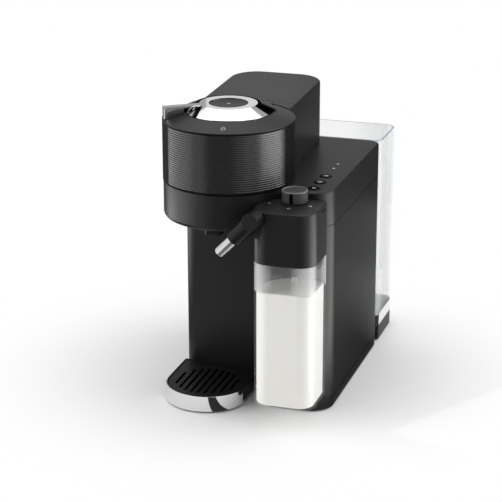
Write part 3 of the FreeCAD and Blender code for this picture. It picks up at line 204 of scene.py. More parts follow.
@dataclass(frozen=True)
class MouldedPlastic:
    """Opaque injection-moulded plastic with an eroded grain and a faint cloud in its tone.

    Attributes:
        label: Name of the material.
        colour: Middle tone.
        lighter: Tone of the lighter patches.
        roughness: Middle roughness.
        spread: Share by which the roughness wanders.
        grain: Width of the mould grain.
        relief: Height of the grain.
        mirror: Strength of the mirror-like share of the light, 0.5 for a bare skin.
    """

    label: str
    colour: str
    lighter: str
    roughness: float
    spread: float = 0.06
    grain: float = 0.9
    relief: float = 0.02
    mirror: float = 0.22

    def make(self) -> Material:
        """Builds the material."""
        look = Shading(self.label)
        # The real grain is a few hundredths wide: drawn coarser so that it shows.
        grain = look.noise(self.grain, 3.0)
        return look.done({
            "Base Color": look.tone(look.noise(CLOUD_W), self.colour, self.lighter),
            "Roughness": look.span(grain, self.roughness - self.spread, self.roughness + self.spread),
            "Normal": look.bump(grain, 0.35, self.relief),
            "IOR": PLASTIC_INDEX, "Specular IOR Level": self.mirror})


@dataclass(frozen=True)
class Metal:
    """Bright metal whose polish wanders a little.

    Attributes:
        label: Name of the material.
        colour: Reflection colour.
        roughness: Middle roughness.
        streak: Width of the polishing streaks, level with the base.
        relief: Height of the streaks.
    """

    label: str
    colour: str
    roughness: float
    streak: float
    relief: float

    def make(self) -> Material:
        """Builds the material."""
        look = Shading(self.label)
        scale = 1 / (self.streak * MM)
        drawn = look.add("ShaderNodeMapping", "Vector", {
            "Vector": look.place, "Scale": (scale / STREAK_L, scale / STREAK_L, scale)})
        streaks = look.add("ShaderNodeTexNoise", "Fac", {"Vector": drawn, "Scale": 1.0, "Detail": 2.0})
        return look.done({
            "Base Color": srgb(self.colour), "Metallic": 1.0,
            "Roughness": look.span(streaks, self.roughness * 0.7, self.roughness * 1.3),
            "Normal": look.bump(streaks, 0.2, self.relief)})


@dataclass(frozen=True)
class ClearResin:
    """Thin see-through wall of moulded resin that lets light straight on.

    Attributes:
        label: Name of the material.
        colour: Tint.
        roughness: Middle roughness.
        cover: Share of the light that the wall stops.
        corner_sheen: Cover added towards the corners: a painted sheen of the curved wall seen at a grazing
            angle.
        corners_of: Node whose upright corners these are.
        sheen_from: Height where the painted sheen starts.
    """

    label: str
    colour: str
    roughness: float
    cover: float
    corner_sheen: float = 0.0
    corners_of: str = ""
    sheen_from: float = 0.0

    def make(self) -> Material:
        """Builds the material."""
        look = Shading(self.label)
        return look.done({
            "Base Color": srgb(self.colour), "IOR": RESIN_INDEX,
            "Roughness": look.span(look.noise(FLOW_W), self.roughness * 0.8, self.roughness * 1.2),
            "Alpha": self.sheen_cover(look) if self.corners_of else self.cover})

    def sheen_cover(self, look: Shading) -> NodeSocket:
        """Makes the wall milkier towards its corners by its place on the piece: a painted sheen of the curved
        wall seen at a grazing angle.

        Args:
            look: The material's tree.

        Returns:
            Socket with the cover.
        """
        low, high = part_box(self.corners_of)
        centre, half = (low + high) / 2, (high - low) / 2
        axes = add_node(look.tree, "ShaderNodeSeparateXYZ", {"Vector": look.place}).outputs
        shares = [look.sum("DIVIDE", look.sum("ABSOLUTE", look.sum("SUBTRACT", axes[i], centre[i])), half[i])
                  for i in range(2)]
        above = look.span(axes["Z"], 0.0, 1.0, *((self.sheen_from + off) * MM for off in SHEEN_FADE))
        corner = look.sum("MULTIPLY", look.sum("MULTIPLY", *shares), above)
        # painted sheen: the cover grows towards the corners
        return look.span(corner, self.cover, self.cover + self.corner_sheen, *SHEEN_SHARE,
                         interpolation_type="SMOOTHSTEP")


@dataclass(frozen=True)
class Milk:
    """Cold milk: white, with a smooth skin."""

    label: str = "whole_milk"
    colour: str = "#f4f2ec"
    cream: str = "#fbfaf6"
    roughness: float = 0.3

    def make(self) -> Material:
        """Builds the material."""
        look = Shading(self.label)
        return look.done({
            "Base Color": look.tone(look.noise(CREAM_W), self.colour, self.cream),
            "Roughness": self.roughness, "IOR": MILK_INDEX})


@dataclass(frozen=True)
class Print:
    """Pale pad-printed or back-lit ink."""

    label: str
    colour: str
    glow: float
    roughness: float = 0.5

    def make(self) -> Material:
        """Builds the material."""
        look = Shading(self.label)
        return look.done({
            "Base Color": look.tone(look.noise(SPECK_W, 1.0), self.colour, WHITE),
            "Roughness": self.roughness, "Emission Color": srgb(self.colour), "Emission Strength": self.glow})


class Finish(Enum):
    """The finishes of the machine."""

    # Moulded ABS with a fine eroded grain: dull charcoal with broad soft lights.
    CHARCOAL = MouldedPlastic("charcoal_abs_grained", "#1b1b1a", "#1f1f1e", 0.37, mirror=0.25)
    # The same ABS from a smoother tool: clearer lights along the ribs.
    RIBBED = MouldedPlastic("charcoal_abs_satin", "#121211", "#151514", 0.24, 0.03, 0.6, 0.0, 0.62)
    # Glass-filled black plastic of the pieces that get hot or wet.
    BLACK = MouldedPlastic("black_pbt_satin", "#0f0f0f", "#141413", 0.4, mirror=0.2)
    # Sparked mould: hardly a shine, so the plain strips beside the ribs stay dark.
    MATT = MouldedPlastic("black_abs_matt", "#0f0f0f", "#131312", 0.55, mirror=0.04)
    # Grey moulded knob with a matt skin.
    KNOB = MouldedPlastic("grey_abs_matt", "#424241", "#484847", 0.5, mirror=0.12)
    # The knob's grey made paler for its rim ring, which is a real part: the paler tone is a painted sheen
    # where the rim catches the light.
    KNOB_RIM = MouldedPlastic("grey_abs_painted_sheen", "#6c6c6a", "#747472", 0.4, mirror=0.3)
    # Polished acrylic over black: deep gloss.
    GLOSS = MouldedPlastic("black_acrylic_gloss", "#050505", "#080808", 0.16, 0.03, 2.0, 0.0, 0.04)
    # Soft rubber: no shine.
    RUBBER = MouldedPlastic("black_rubber", "#151515", "#1b1b1b", 0.78, 0.08, 1.2, 0.05)
    # Lacquered circuit board.
    BOARD = MouldedPlastic("green_board_lacquer", "#1c4a2a", "#235733", 0.4)
    # White food-grade tube.
    TUBE = MouldedPlastic("white_silicone", "#d8d8d4", "#e2e2de", 0.55)
    # Chromium plate on polished plastic: a clean mirror.
    CHROME = Metal("chromium_plate", "#ececec", 0.07, 8.0, 0.0)
    # Satin chromium: soft streaks, no clear mirror image.
    SATIN = Metal("satin_chromium", "#cfcfcf", 0.24, 0.6, 0.004)
    # Bright turned steel of pins and screws.
    STEEL = Metal("turned_steel", "#b4b4b6", 0.28, 0.5, 0.006)
    # Cast alloy of the heater.
    ALLOY = Metal("cast_aluminium", "#a6a6a6", 0.5, 2.0, 0.05)
    # Zinc-plated cans of pump and motor.
    ZINC = Metal("zinc_plate", "#8d8f94", 0.36, 1.5, 0.01)
    # Clear styrene resin, milkier towards its corners: a painted sheen of the curved wall seen at a grazing
    # angle.
    TANK = ClearResin("clear_san_resin", "#f4f8fa", 0.05, 0.1, 0.2, "tank_shell")
    # Seen along the wall, the same resin looks grey-blue.
    TANK_EDGE = ClearResin("san_resin_edge", "#8e9ba8", 0.12, 0.85)
    # Frosted copolyester: nearly clear, which is real. Above the milk it grows milky towards its corners: a
    # painted sheen of the curved wall seen at a grazing angle.
    CARAFE = ClearResin("frosted_copolyester", "#eceded", 0.22, 0.06, 0.6, "milk_carafe", MILK_TOP)
    MILK = Milk()
    INK = Print("pale_grey_ink", "#787876", 0.0)
    LIT = Print("backlit_white", "#c4c4c1", 0.15)

    def material(self) -> Material:
        """The finish's material, made on its first use."""
        return bpy.data.materials.get(self.value.label) or self.value.make()


class Sign(Enum):
    """Generic marks as strokes in a square from -1 to 1."""

    CUP = (((-0.7, 0.4), (-0.55, -0.6), (0.45, -0.6), (0.6, 0.4), (-0.7, 0.4)),
           ((0.58, 0.25), (0.95, 0.15), (0.85, -0.25), (0.5, -0.3)))
    SMALL_CUP = (((-0.5, 0.1), (-0.4, -0.6), (0.35, -0.6), (0.45, 0.1), (-0.5, 0.1)),
                 ((0.43, 0.0), (0.7, -0.1), (0.62, -0.35), (0.38, -0.4)))
    GLASS = (((-0.55, 0.8), (-0.4, -0.8), (0.4, -0.8), (0.55, 0.8), (-0.55, 0.8)),
             ((-0.47, 0.1), (0.47, 0.1)))
    FOAM = (((-0.6, 0.0), (-0.45, -0.7), (0.45, -0.7), (0.6, 0.0), (-0.6, 0.0)),
            ((-0.5, 0.35), (0.5, 0.35)), ((-0.3, 0.7), (0.3, 0.7)))
    LOCK = (((-0.5, -0.7), (0.5, -0.7), (0.5, 0.05), (-0.5, 0.05), (-0.5, -0.7)),
            ((-0.35, 0.05), (-0.35, 0.5), (0.0, 0.75), (0.35, 0.5), (0.35, 0.05)))
    START = (((-0.38, 0.5), (-0.65, 0.1), (-0.55, -0.4), (0.0, -0.65), (0.55, -0.4), (0.65, 0.1),
              (0.38, 0.5)), ((0.0, 0.85), (0.0, 0.05)))


def link(name: str, data: Any) -> Object:
    """Puts a new object with its data into the scene."""
    obj = bpy.data.objects.new(name, data)
    bpy.context.scene.collection.objects.link(obj)
    return obj


def bake(obj: Object) -> None:
    """Applies all modifiers of an object to its mesh."""
    graph = bpy.context.evaluated_depsgraph_get()
    mesh = bpy.data.meshes.new_from_object(obj.evaluated_get(graph), preserve_all_data_layers=True,
                                           depsgraph=graph)
    obj.modifiers.clear()
    obj.data = mesh


def body_of(node: str) -> str:
    """The body that a CAD node rides on."""
    return frame["nodes"][node]["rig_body"]


def centre_of(node: str) -> Vector:
    """The middle of a CAD node's box."""
    low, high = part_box(node)
    return (low + high) / 2


def round_of(node: str) -> tuple[Vector, float, float, float]:
    """The middle of a round CAD node, and its radius, foot and top in millimetres."""
    low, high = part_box(node)
    return (low + high) / 2, (high.x - low.x) / 2 / MM, low.z / MM, high.z / MM


def solid(name: str, form: BMesh, finish: Finish, like: str, edge: float = 0.0,
          sharp: float = 32.0) -> Object:
    """Finishes a mesh as a piece of the machine.

    Args:
        name: Name of the piece.
        form: The mesh, freed afterwards.
        finish: Its finish.
        like: CAD node whose body it takes.
        edge: Width of the rounding on its edges.
        sharp: Angle from which an edge counts as one.

    Returns:
        The finished piece.
    """
    for face in form.faces:
        face.smooth = True
    for side in form.edges:
        side.smooth = edge > 0 or side.calc_face_angle(0.0) < math.radians(sharp)
    mesh = bpy.data.meshes.new(name)
    form.to_mesh(mesh)
    form.free()
    piece = link(name, mesh)
    if edge > 0:
        bevel = piece.modifiers.new("edge", "BEVEL")
        bevel.width = edge * MM
        bevel.segments = 2
        bevel.limit_method = "ANGLE"
        bevel.angle_limit = math.radians(sharp)
        piece.modifiers.new("even", "WEIGHTED_NORMAL")
        bake(piece)
    piece.data.materials.clear()
    piece.data.materials.append(finish.material())
    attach(piece, body_of(like))
    LOG.info("piece %s, %d faces", name, len(piece.data.polygons))
    return piece


def skin(node: str, finish: Finish, edge: float = 0.0, sharp: float = 32.0) -> Object:
    """A merged, softly edged copy of a CAD node that stands for it.

    Args:
        node: The CAD node.
        finish: Its finish.
        edge: Width of the rounding on its edges.
        sharp: Angle from which an edge counts as one.

    Returns:
        The copy.
    """
    form = bmesh.new()
    form.from_mesh(frame["nodes"][node].data)
    bmesh.ops.remove_doubles(form, verts=form.verts, dist=MERGE)
    bmesh.ops.dissolve_limit(form, angle_limit=math.radians(FLAT), verts=form.verts, edges=form.edges)
    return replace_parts(solid(node + "_skin", form, finish, node, edge, sharp), node)


def plan_way(angle: float) -> Vector:
    """Level direction at a plan angle."""
    turn = math.radians(angle)
    return Vector((math.sin(turn), -math.cos(turn), 0))


def bridge(form: BMesh, near: Sequence[BMVert], far: Sequence[BMVert]) -> None:
    """Closes the strip between two rings of corners."""
    for i in range(len(near)):
        k = (i + 1) % len(near)
        form.faces.new((near[i], near[k], far[k], far[i]))


def turned(outline: Sequence[Point], centre: Vector, start: float = 0.0, sweep: float = 360.0,
           steps: int = 128) -> BMesh:
    """Turns a closed outline about an upright axis.

    Args:
        outline: Radius and height of each corner, in millimetres, height from the table.
        centre: A point on the axis, in metres.
        start: Plan angle where the turn begins.
        sweep: Degrees turned.
        steps: Facets of the whole turn.

    Returns:
        The closed mesh.
    """
    form = bmesh.new()
    whole = sweep >= 360.0
    count = steps if whole else max(4, round(steps * sweep / 360)) + 1
    spans = count if whole else count - 1
    rings = []
    for i in range(count):
        way = plan_way(start + sweep * i / spans)
        rings.append([form.verts.new(Vector((centre.x, centre.y, z * MM)) + way * (r * MM))
                      for r, z in outline])
    for i in range(spans):
        bridge(form, rings[i], rings[(i + 1) % count])
    if not whole:
        form.faces.new(rings[0])
        form.faces.new(rings[-1])
    bmesh.ops.remove_doubles(form, verts=form.verts, dist=MERGE)
    bmesh.ops.recalc_face_normals(form, faces=form.faces)
    return form


def rounded_block(corners: Sequence[Point], radii: Sequence[float], low: float, high: float,
                  steps: int = 12) -> BMesh:
    """Stands a plan with rounded corners up between two heights, all in millimetres.

    Args:
        corners: The plan's corners in order.
        radii: Rounding of each corner.
        low: Height of its foot.
        high: Height of its top.
        steps: Facets of each rounding.

    Returns:
        The closed mesh.
    """
    points: list[Point] = []
    for i, (corner, radius) in enumerate(zip(corners, radii)):
        here = Vector(corner)
        back = (Vector(corners[i - 1]) - here).normalized()
        ahead = (Vector(corners[(i + 1) % len(corners)]) - here).normalized()
        half = back.angle(ahead) / 2
        middle = here + (back + ahead).normalized() * (radius / math.sin(half))
        first = here + back * (radius / math.tan(half)) - middle
        last = here + ahead * (radius / math.tan(half)) - middle
        for k in range(steps + 1):
            way = first.lerp(last, k / steps).normalized() * radius
            points.append((middle.x + way.x, middle.y + way.y))
    form = bmesh.new()
    foot, top = ([form.verts.new(Vector((x, y, z)) * MM) for x, y in points] for z in (low, high))
    bridge(form, foot, top)
    form.faces.new(top)
    form.faces.new(foot)
    bmesh.ops.recalc_face_normals(form, faces=form.faces)
    return form


def stroke_mark(name: str, sign: Sign, place: Matrix, size: float, line: float, finish: Finish,
                like: str) -> None:
    """Prints a generic mark on a surface.

    Args:
        name: Name of the piece.
        sign: The mark.
        place: Frame of the mark, with its Z out of the surface, in metres.
        size: Half height of the mark.
        line: Width of its strokes.
        finish: Its ink.
        like: CAD node that carries it.
    """
    form = bmesh.new()
    for stroke in sign.value:
        points = [Vector((x * size, y * size)) for x, y in stroke]
        for a, b in zip(points, points[1:]):
            along = (b - a).normalized() * (line / 2)
            side = Vector((-along.y, along.x))
            ring = [a - along - side, b + along - side, b + along + side, a - along + side]
            low, top = ([form.verts.new(place @ (Vector((p.x, p.y, z)) * MM)) for p in ring]
                        for z in INK_Z)
            form.faces.new(top)
            form.faces.new(low[::-1])
            bridge(form, low, top)
    solid(name, form, finish, like)


def facing(point: Vector, out: Vector, up: Vector) -> Matrix:
    """A frame on a surface.

    Args:
        point: Where it sits.
        out: The surface's outward way.
        up: What the frame's Y follows.

    Returns:
        The frame's matrix.
    """
    z = out.normalized()
    x = up.cross(z).normalized()
    y = z.cross(x)
    turn = Matrix((x, y, z)).transposed().to_4x4()
    return Matrix.Translation(point) @ turn


class Grower(Tree):
    """A geometry-node tree with named inputs that is run once and baked."""

    def __init__(self, name: str, inputs: dict[str, str]) -> None:
        """Makes an empty tree.

        Args:
            name: Name of the tree.
            inputs: Input name to socket kind, such as Float or Vector.
        """
        self.name = name
        self.tree = bpy.data.node_groups.new(name, "GeometryNodeTree")
        sockets = self.tree.interface
        sockets.new_socket(name="Geometry", in_out="INPUT", socket_type="NodeSocketGeometry")
        for label, kind in {**inputs, "Finish": "Material"}.items():
            sockets.new_socket(name=label, in_out="INPUT", socket_type="NodeSocket" + kind)
        sockets.new_socket(name="Geometry", in_out="OUTPUT", socket_type="NodeSocketGeometry")
        self.inputs = add_node(self.tree, "NodeGroupInput").outputs

    def end(self, points: NodeSocket, instance: NodeSocket) -> None:
        """Puts the instance on each point, makes it real, sets the finish and closes the tree."""
        spread = self.add("GeometryNodeInstanceOnPoints", "Instances", {
            "Points": points, "Instance": instance})
        real = self.add("GeometryNodeRealizeInstances", "Geometry", {"Geometry": spread})
        dressed = self.add("GeometryNodeSetMaterial", "Geometry", {
            "Geometry": real, "Material": self.inputs["Finish"]})
        add_node(self.tree, "NodeGroupOutput", {"Geometry": dressed})

    def run(self, name: str, like: str, finish: Finish, sizes: dict[str, Any],
            points: Iterable[Vector] = ()) -> None:
        """Grows a piece and turns it into a plain mesh.

        Args:
            name: Name of the piece.
            like: CAD node whose body it takes.
            finish: Its finish.
            sizes: Input name to value.
            points: Places that the tree reads as its geometry.
        """
        mesh = bpy.data.meshes.new(name)
        mesh.from_pydata([tuple(p) for p in points], [], [])
        piece = link(name, mesh)
        modifier = piece.modifiers.new(self.name, "NODES")
        modifier.node_group = self.tree
        values = {**sizes, "Finish": finish.material()}
        for item in self.tree.interface.items_tree:
            if item.in_out == "INPUT" and item.name in values:
                modifier[item.identifier] = values[item.name]
        bake(piece)
        piece.data.shade_smooth()
        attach(piece, body_of(like))
        LOG.info("grown %s, %d faces", name, len(piece.data.polygons))


class Assembly:
    """A group of pieces: finishes for its CAD nodes first, then its fine pieces."""

    skins: Sequence[tuple[Any, ...]] = ()

    def build(self) -> None:
        """Dresses each node as skin says, then adds the fine pieces."""
        for looks in self.skins:
            skin(*looks)
        self.add_pieces()

    def add_pieces(self) -> None:
        """Adds what the CAD nodes don't have."""


@dataclass
class Housing(Assembly):
    """Base, column and top cover with their small fittings."""

    screw_r: float = 2.9
    recess: Place = (4.35, 0.9, 0.5)
    skins = (("base_plate", Finish.CHARCOAL, 0.35), ("column_shell", Finish.CHARCOAL, 0.35),
             ("top_cover", Finish.CHARCOAL, 0.0, 40.0), ("cord_gland", Finish.BLACK, 0.4),
             ("rubber_feet", Finish.RUBBER, 0.4), ("steam_connector", Finish.BLACK, 0.3),
             ("base_screws", Finish.STEEL))

    def add_pieces(self) -> None:
        """Black cross bars on the base screws' heads, one pair on each screw: painted shade standing in for
        the hollow cross recesses.
        """
        grower = Grower("ScrewCross", {"Long": "Float", "Wide": "Float", "Tall": "Float"})
        ins = grower.inputs
        cross = add_node(grower.tree, "GeometryNodeJoinGeometry")
        for x, y in (("Long", "Wide"), ("Wide", "Long")):
            size = grower.add("ShaderNodeCombineXYZ", "Vector", {"X": ins[x], "Y": ins[y], "Z": ins["Tall"]})
            bar = grower.add("GeometryNodeMeshCube", "Mesh", {"Size": size})
            grower.tree.links.new(bar, cross.inputs["Geometry"])
        grower.end(ins["Geometry"], cross.outputs["Geometry"])
        sizes = {name: size * MM for name, size in zip(("Long", "Wide", "Tall"), self.recess)}
        centres = self.heads(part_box("base_screws")[0].z)
        # black bars: painted shade of the screws' cross recesses
        grower.run("screw_recess_shade", "base_screws", Finish.BLACK, sizes, centres)

    def heads(self, z: float) -> list[Vector]:
        """Middles of the screw heads, read from the solid's lowest corners.

        Args:
            z: Height of the heads' undersides, in metres.

        Returns:
            One point for each screw.
        """
        groups: list[list[Vector]] = []
        for corner in frame["nodes"]["base_screws"].data.vertices:
            if corner.co.z > z + MM / 100:
                continue
            near = next((g for g in groups if (g[0] - corner.co).length < 3 * self.screw_r * MM), None)
            if near is None:
                groups.append(near := [])
            near.append(corner.co.copy())
        middles = []
        for group in groups:
            x, y = ((min(line) + max(line)) / 2 for line in zip(*(corner.xy for corner in group)))
            middles.append(Vector((x, y, z)))
        return middles


@dataclass
class BrewHead(Assembly):
    """Upper drum with its ribbed sleeve and sloping collar."""

    rib_from: float = -46.0
    rib_to: float = 75.0
    rib_pitch: float = 2.3
    rib_r: float = 0.45
    rib_stretch: float = 2.35
    rib_steps: int = 96
    wire_steps: int = 16
    sleeve_t: float = 0.9
    sleeve_steps: int = 240
    lock_angle: float = 13.0
    lock_r: float = 57.6
    lock: MarkSize = (3.8, 0.5)
    collar_fall: float = 0.31
    skins = (("head_shell", Finish.MATT, 0.35), ("head_collar", Finish.CHARCOAL, 0.0, 25.0),
             *((node, Finish.BLACK, 0.3) for node in ("head_frame", "piercing_plate", "hinge_bracket")),
             ("chamber_seal", Finish.RUBBER), ("hinge_pin", Finish.STEEL))

    def add_pieces(self) -> None:
        """Grows the ribs and prints the lock mark."""
        self.ribbed_sleeve()
        self.lock_mark()

    def ribbed_sleeve(self) -> None:
        """Sleeve under the ribs and the ribs themselves."""
        low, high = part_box("head_band")
        axis = centre_of("capsule_holder")
        back = round_of("head_shell")[1] - self.rib_r
        z0, z1 = low.z / MM, high.z / MM
        outline = [(back - self.sleeve_t, z0), (back, z0), (back, z1), (back - self.sleeve_t, z1)]
        sweep = self.rib_to - self.rib_from
        sleeve = turned(outline, axis, self.rib_from, sweep, self.sleeve_steps)
        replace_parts(solid("head_sleeve", sleeve, Finish.RIBBED, "head_band"), "head_band")
        grower = Grower("LevelRibs", {"Radius": "Float", "Rib": "Float", "Stretch": "Vector", "Start": "Float",
                                      "Sweep": "Float", "Count": "Int", "Foot": "Vector", "Pitch": "Float"})
        ins = grower.inputs
        arc = grower.add("GeometryNodeCurveArc", "Curve", {
            "Resolution": self.rib_steps, "Radius": ins["Radius"], "Start Angle": ins["Start"],
            "Sweep Angle": ins["Sweep"]}, mode="RADIUS")
        wire = grower.add("GeometryNodeCurvePrimitiveCircle", "Curve", {
            "Resolution": self.wire_steps, "Radius": ins["Rib"]}, mode="RADIUS")
        rib = grower.add("GeometryNodeCurveToMesh", "Mesh", {
            "Curve": arc, "Profile Curve": wire, "Fill Caps": True})
        tall = grower.add("GeometryNodeTransform", "Geometry", {"Geometry": rib, "Scale": ins["Stretch"]})
        step = grower.add("ShaderNodeCombineXYZ", "Vector", {"Z": ins["Pitch"]})
        line = grower.add("GeometryNodeMeshLine", "Mesh", {
            "Count": ins["Count"], "Start Location": ins["Foot"], "Offset": step}, mode="OFFSET")
        grower.end(line, tall)
        foot = Vector((axis.x, axis.y, low.z + self.rib_pitch / 2 * MM))
        grower.run("head_ribs", "head_band", Finish.RIBBED, {
            "Radius": back * MM, "Rib": self.rib_r * MM, "Stretch": Vector((1.0, 1.0, self.rib_stretch)),
            "Start": math.radians(self.rib_from - 90), "Sweep": math.radians(sweep),
            "Count": round((z1 - z0) / self.rib_pitch), "Foot": foot, "Pitch": self.rib_pitch * MM})

    def lock_mark(self) -> None:
        """Small lock sign printed on the collar's slope, whose height a ray on the solid finds."""
        axis = centre_of("capsule_holder")
        way = plan_way(self.lock_angle)
        spot = Vector((axis.x, axis.y, 1.0)) + way * (self.lock_r * MM)
        form = bmesh.new()
        form.from_mesh(frame["nodes"]["head_collar"].data)
        point, _, _, _ = BVHTree.FromBMesh(form).ray_cast(spot, -UP)
        form.free()
        spot.z = point.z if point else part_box("head_collar")[1].z
        place = facing(spot, UP + way * self.collar_fall, -way)
        stroke_mark("collar_lock_mark", Sign.LOCK, place, *self.lock, Finish.INK, "head_collar")


@dataclass
class LeverRing:
    """Chromed ring with its lever, and the brew button inside it."""

    dish: float = 0.5
    stem_r: float = 3.9
    cap_t: float = 3.5
    mark: MarkSize = (2.2, 0.55)
    mark_lift: float = 0.03
    tip_depth: float = 3.0
    post_r: float = 1.7
    post_drop: float = 0.9
    post_sunk: float = 0.9

    def build(self) -> None:
        """Dresses the ring, turns the button and lights its mark."""
        ring = skin("lever_ring", Finish.CHROME, 0.0, 24.0)
        self.post(ring)
        self.button()
        skin("brew_spring", Finish.STEEL)

    def post(self, ring: Object) -> None:
        """Round post at the lever's end, where a finger pushes.

        Args:
            ring: The dressed ring with its lever.
        """
        axis = centre_of("brew_button")
        arms = [vert.co - axis for vert in ring.data.vertices]
        reach = max(arm.xy.length for arm in arms)
        tip = [arm for arm in arms if arm.xy.length > reach - self.tip_depth * MM]
        out = sum((arm.xy.normalized() for arm in tip), Vector((0.0, 0.0))).normalized()
        aside = Vector((-out.y, out.x))
        half = max(arm.xy.dot(aside) for arm in tip)
        far = max(arm.xy.dot(out) for arm in tip)
        foot = (axis.z + min(arm.z for arm in tip)) / MM
        top = (axis.z + max(arm.z for arm in tip)) / MM - self.post_drop
        spot = axis.xy + out * (far - self.post_r * MM) + aside * (half - self.post_sunk * MM)
        outline = [(0.0, foot), (self.post_r, foot), (self.post_r, top), (0.0, top)]
        form = turned(outline, Vector((spot.x, spot.y, 0.0)), steps=48)
        solid("lever_end_post", form, Finish.CHROME, "lever_ring", sharp=50.0)

    def button(self) -> None:
        """Gloss button with a dished face and a rounded rim."""
        axis, radius, foot, top = round_of("brew_button")
        seat = top - self.cap_t
        outline = [(0.0, foot), (self.stem_r, foot), (self.stem_r, seat), (radius, seat), (radius, top - 0.7),
                   (radius - 0.2, top - 0.25), (radius - 0.7, top), (radius - 1.5, top - 0.05),
                   (radius * 0.6, top - self.dish * 0.8), (0.0, top - self.dish)]
        face = turned(outline, axis, steps=FINE)
        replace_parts(solid("brew_button_face", face, Finish.GLOSS, "brew_button", sharp=50.0), "brew_button")
        place = facing(Vector((axis.x, axis.y, (top - self.dish + self.mark_lift) * MM)), UP, BACK)
        stroke_mark("brew_start_mark", Sign.START, place, *self.mark, Finish.LIT, "brew_button")


class BrewUnit(Assembly):
    """Lower drum with the outlet, the rotor and its drive."""

    skins = (("chamber_shell", Finish.CHARCOAL, 0.0, 40.0), ("coffee_outlet", Finish.BLACK, 0.5),
             *((node, Finish.BLACK, 0.2) for node in (
                 "coffee_collector", "capsule_holder", "rotor_pulley", "motor_pulley", "rotor_bearing")),
             ("drive_belt", Finish.RUBBER), ("motor_shaft", Finish.STEEL), ("motor_body", Finish.ZINC, 0.4))


class CapsuleBin(Assembly):
    """Long hump behind the head and the fixed cheeks before it."""

    skins = (("capsule_bin", Finish.CHARCOAL, 0.0, 40.0), ("hinge_cheeks", Finish.CHARCOAL, 0.0, 40.0))


@dataclass
class DripStation(Assembly):
    """Drip tray with its bright band and the cup grid."""

    stud_pitch: float = 7.5
    stud_r: float = 0.9
    stud_flat: float = 0.35
    stud_margin: float = 4.0
    skins = (("drip_tray", Finish.BLACK, 0.35), ("drip_band", Finish.CHROME, 0.25),
             ("cup_grid", Finish.BLACK, 0.3))

    def add_pieces(self) -> None:
        """Low studs on the lands between the slots, inside the plate's round front."""
        grower = Grower("GridStuds", {"Side": "Float", "Count": "Int", "Stud": "Float", "Reach": "Float",
                                      "Middle": "Vector"})
        ins = grower.inputs
        lattice = grower.add("GeometryNodeMeshGrid", "Mesh", {
            "Size X": ins["Side"], "Size Y": ins["Side"], "Vertices X": ins["Count"],
            "Vertices Y": ins["Count"]})
        here = grower.add("GeometryNodeInputPosition", "Position")
        away = grower.add("ShaderNodeVectorMath", "Value", {0: here}, operation="LENGTH")
        outside = grower.add("FunctionNodeCompare", "Result", {0: away, 1: ins["Reach"]},
                             operation="GREATER_THAN")
        kept = grower.add("GeometryNodeDeleteGeometry", "Geometry", {
            "Geometry": lattice, "Selection": outside})
        moved = grower.add("GeometryNodeTransform", "Geometry", {
            "Geometry": kept, "Translation": ins["Middle"]})
        ball = grower.add("GeometryNodeMeshUVSphere", "Mesh", {
            "Segments": 10, "Rings": 6, "Radius": ins["Stud"]})
        flat = grower.add("GeometryNodeTransform", "Geometry", {
            "Geometry": ball, "Scale": (1.0, 1.0, self.stud_flat)})
        grower.end(moved, flat)
        low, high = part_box("cup_grid")
        radius = (high.x - low.x) / 2
        count = 2 * math.floor(radius / (self.stud_pitch * MM))
        middle = Vector(((low.x + high.x) / 2, low.y + radius, high.z))
        grower.run("grid_studs", "cup_grid", Finish.BLACK, {
            "Side": (count - 1) * self.stud_pitch * MM, "Count": count, "Stud": self.stud_r * MM,
            "Reach": radius - self.stud_margin * MM, "Middle": middle})


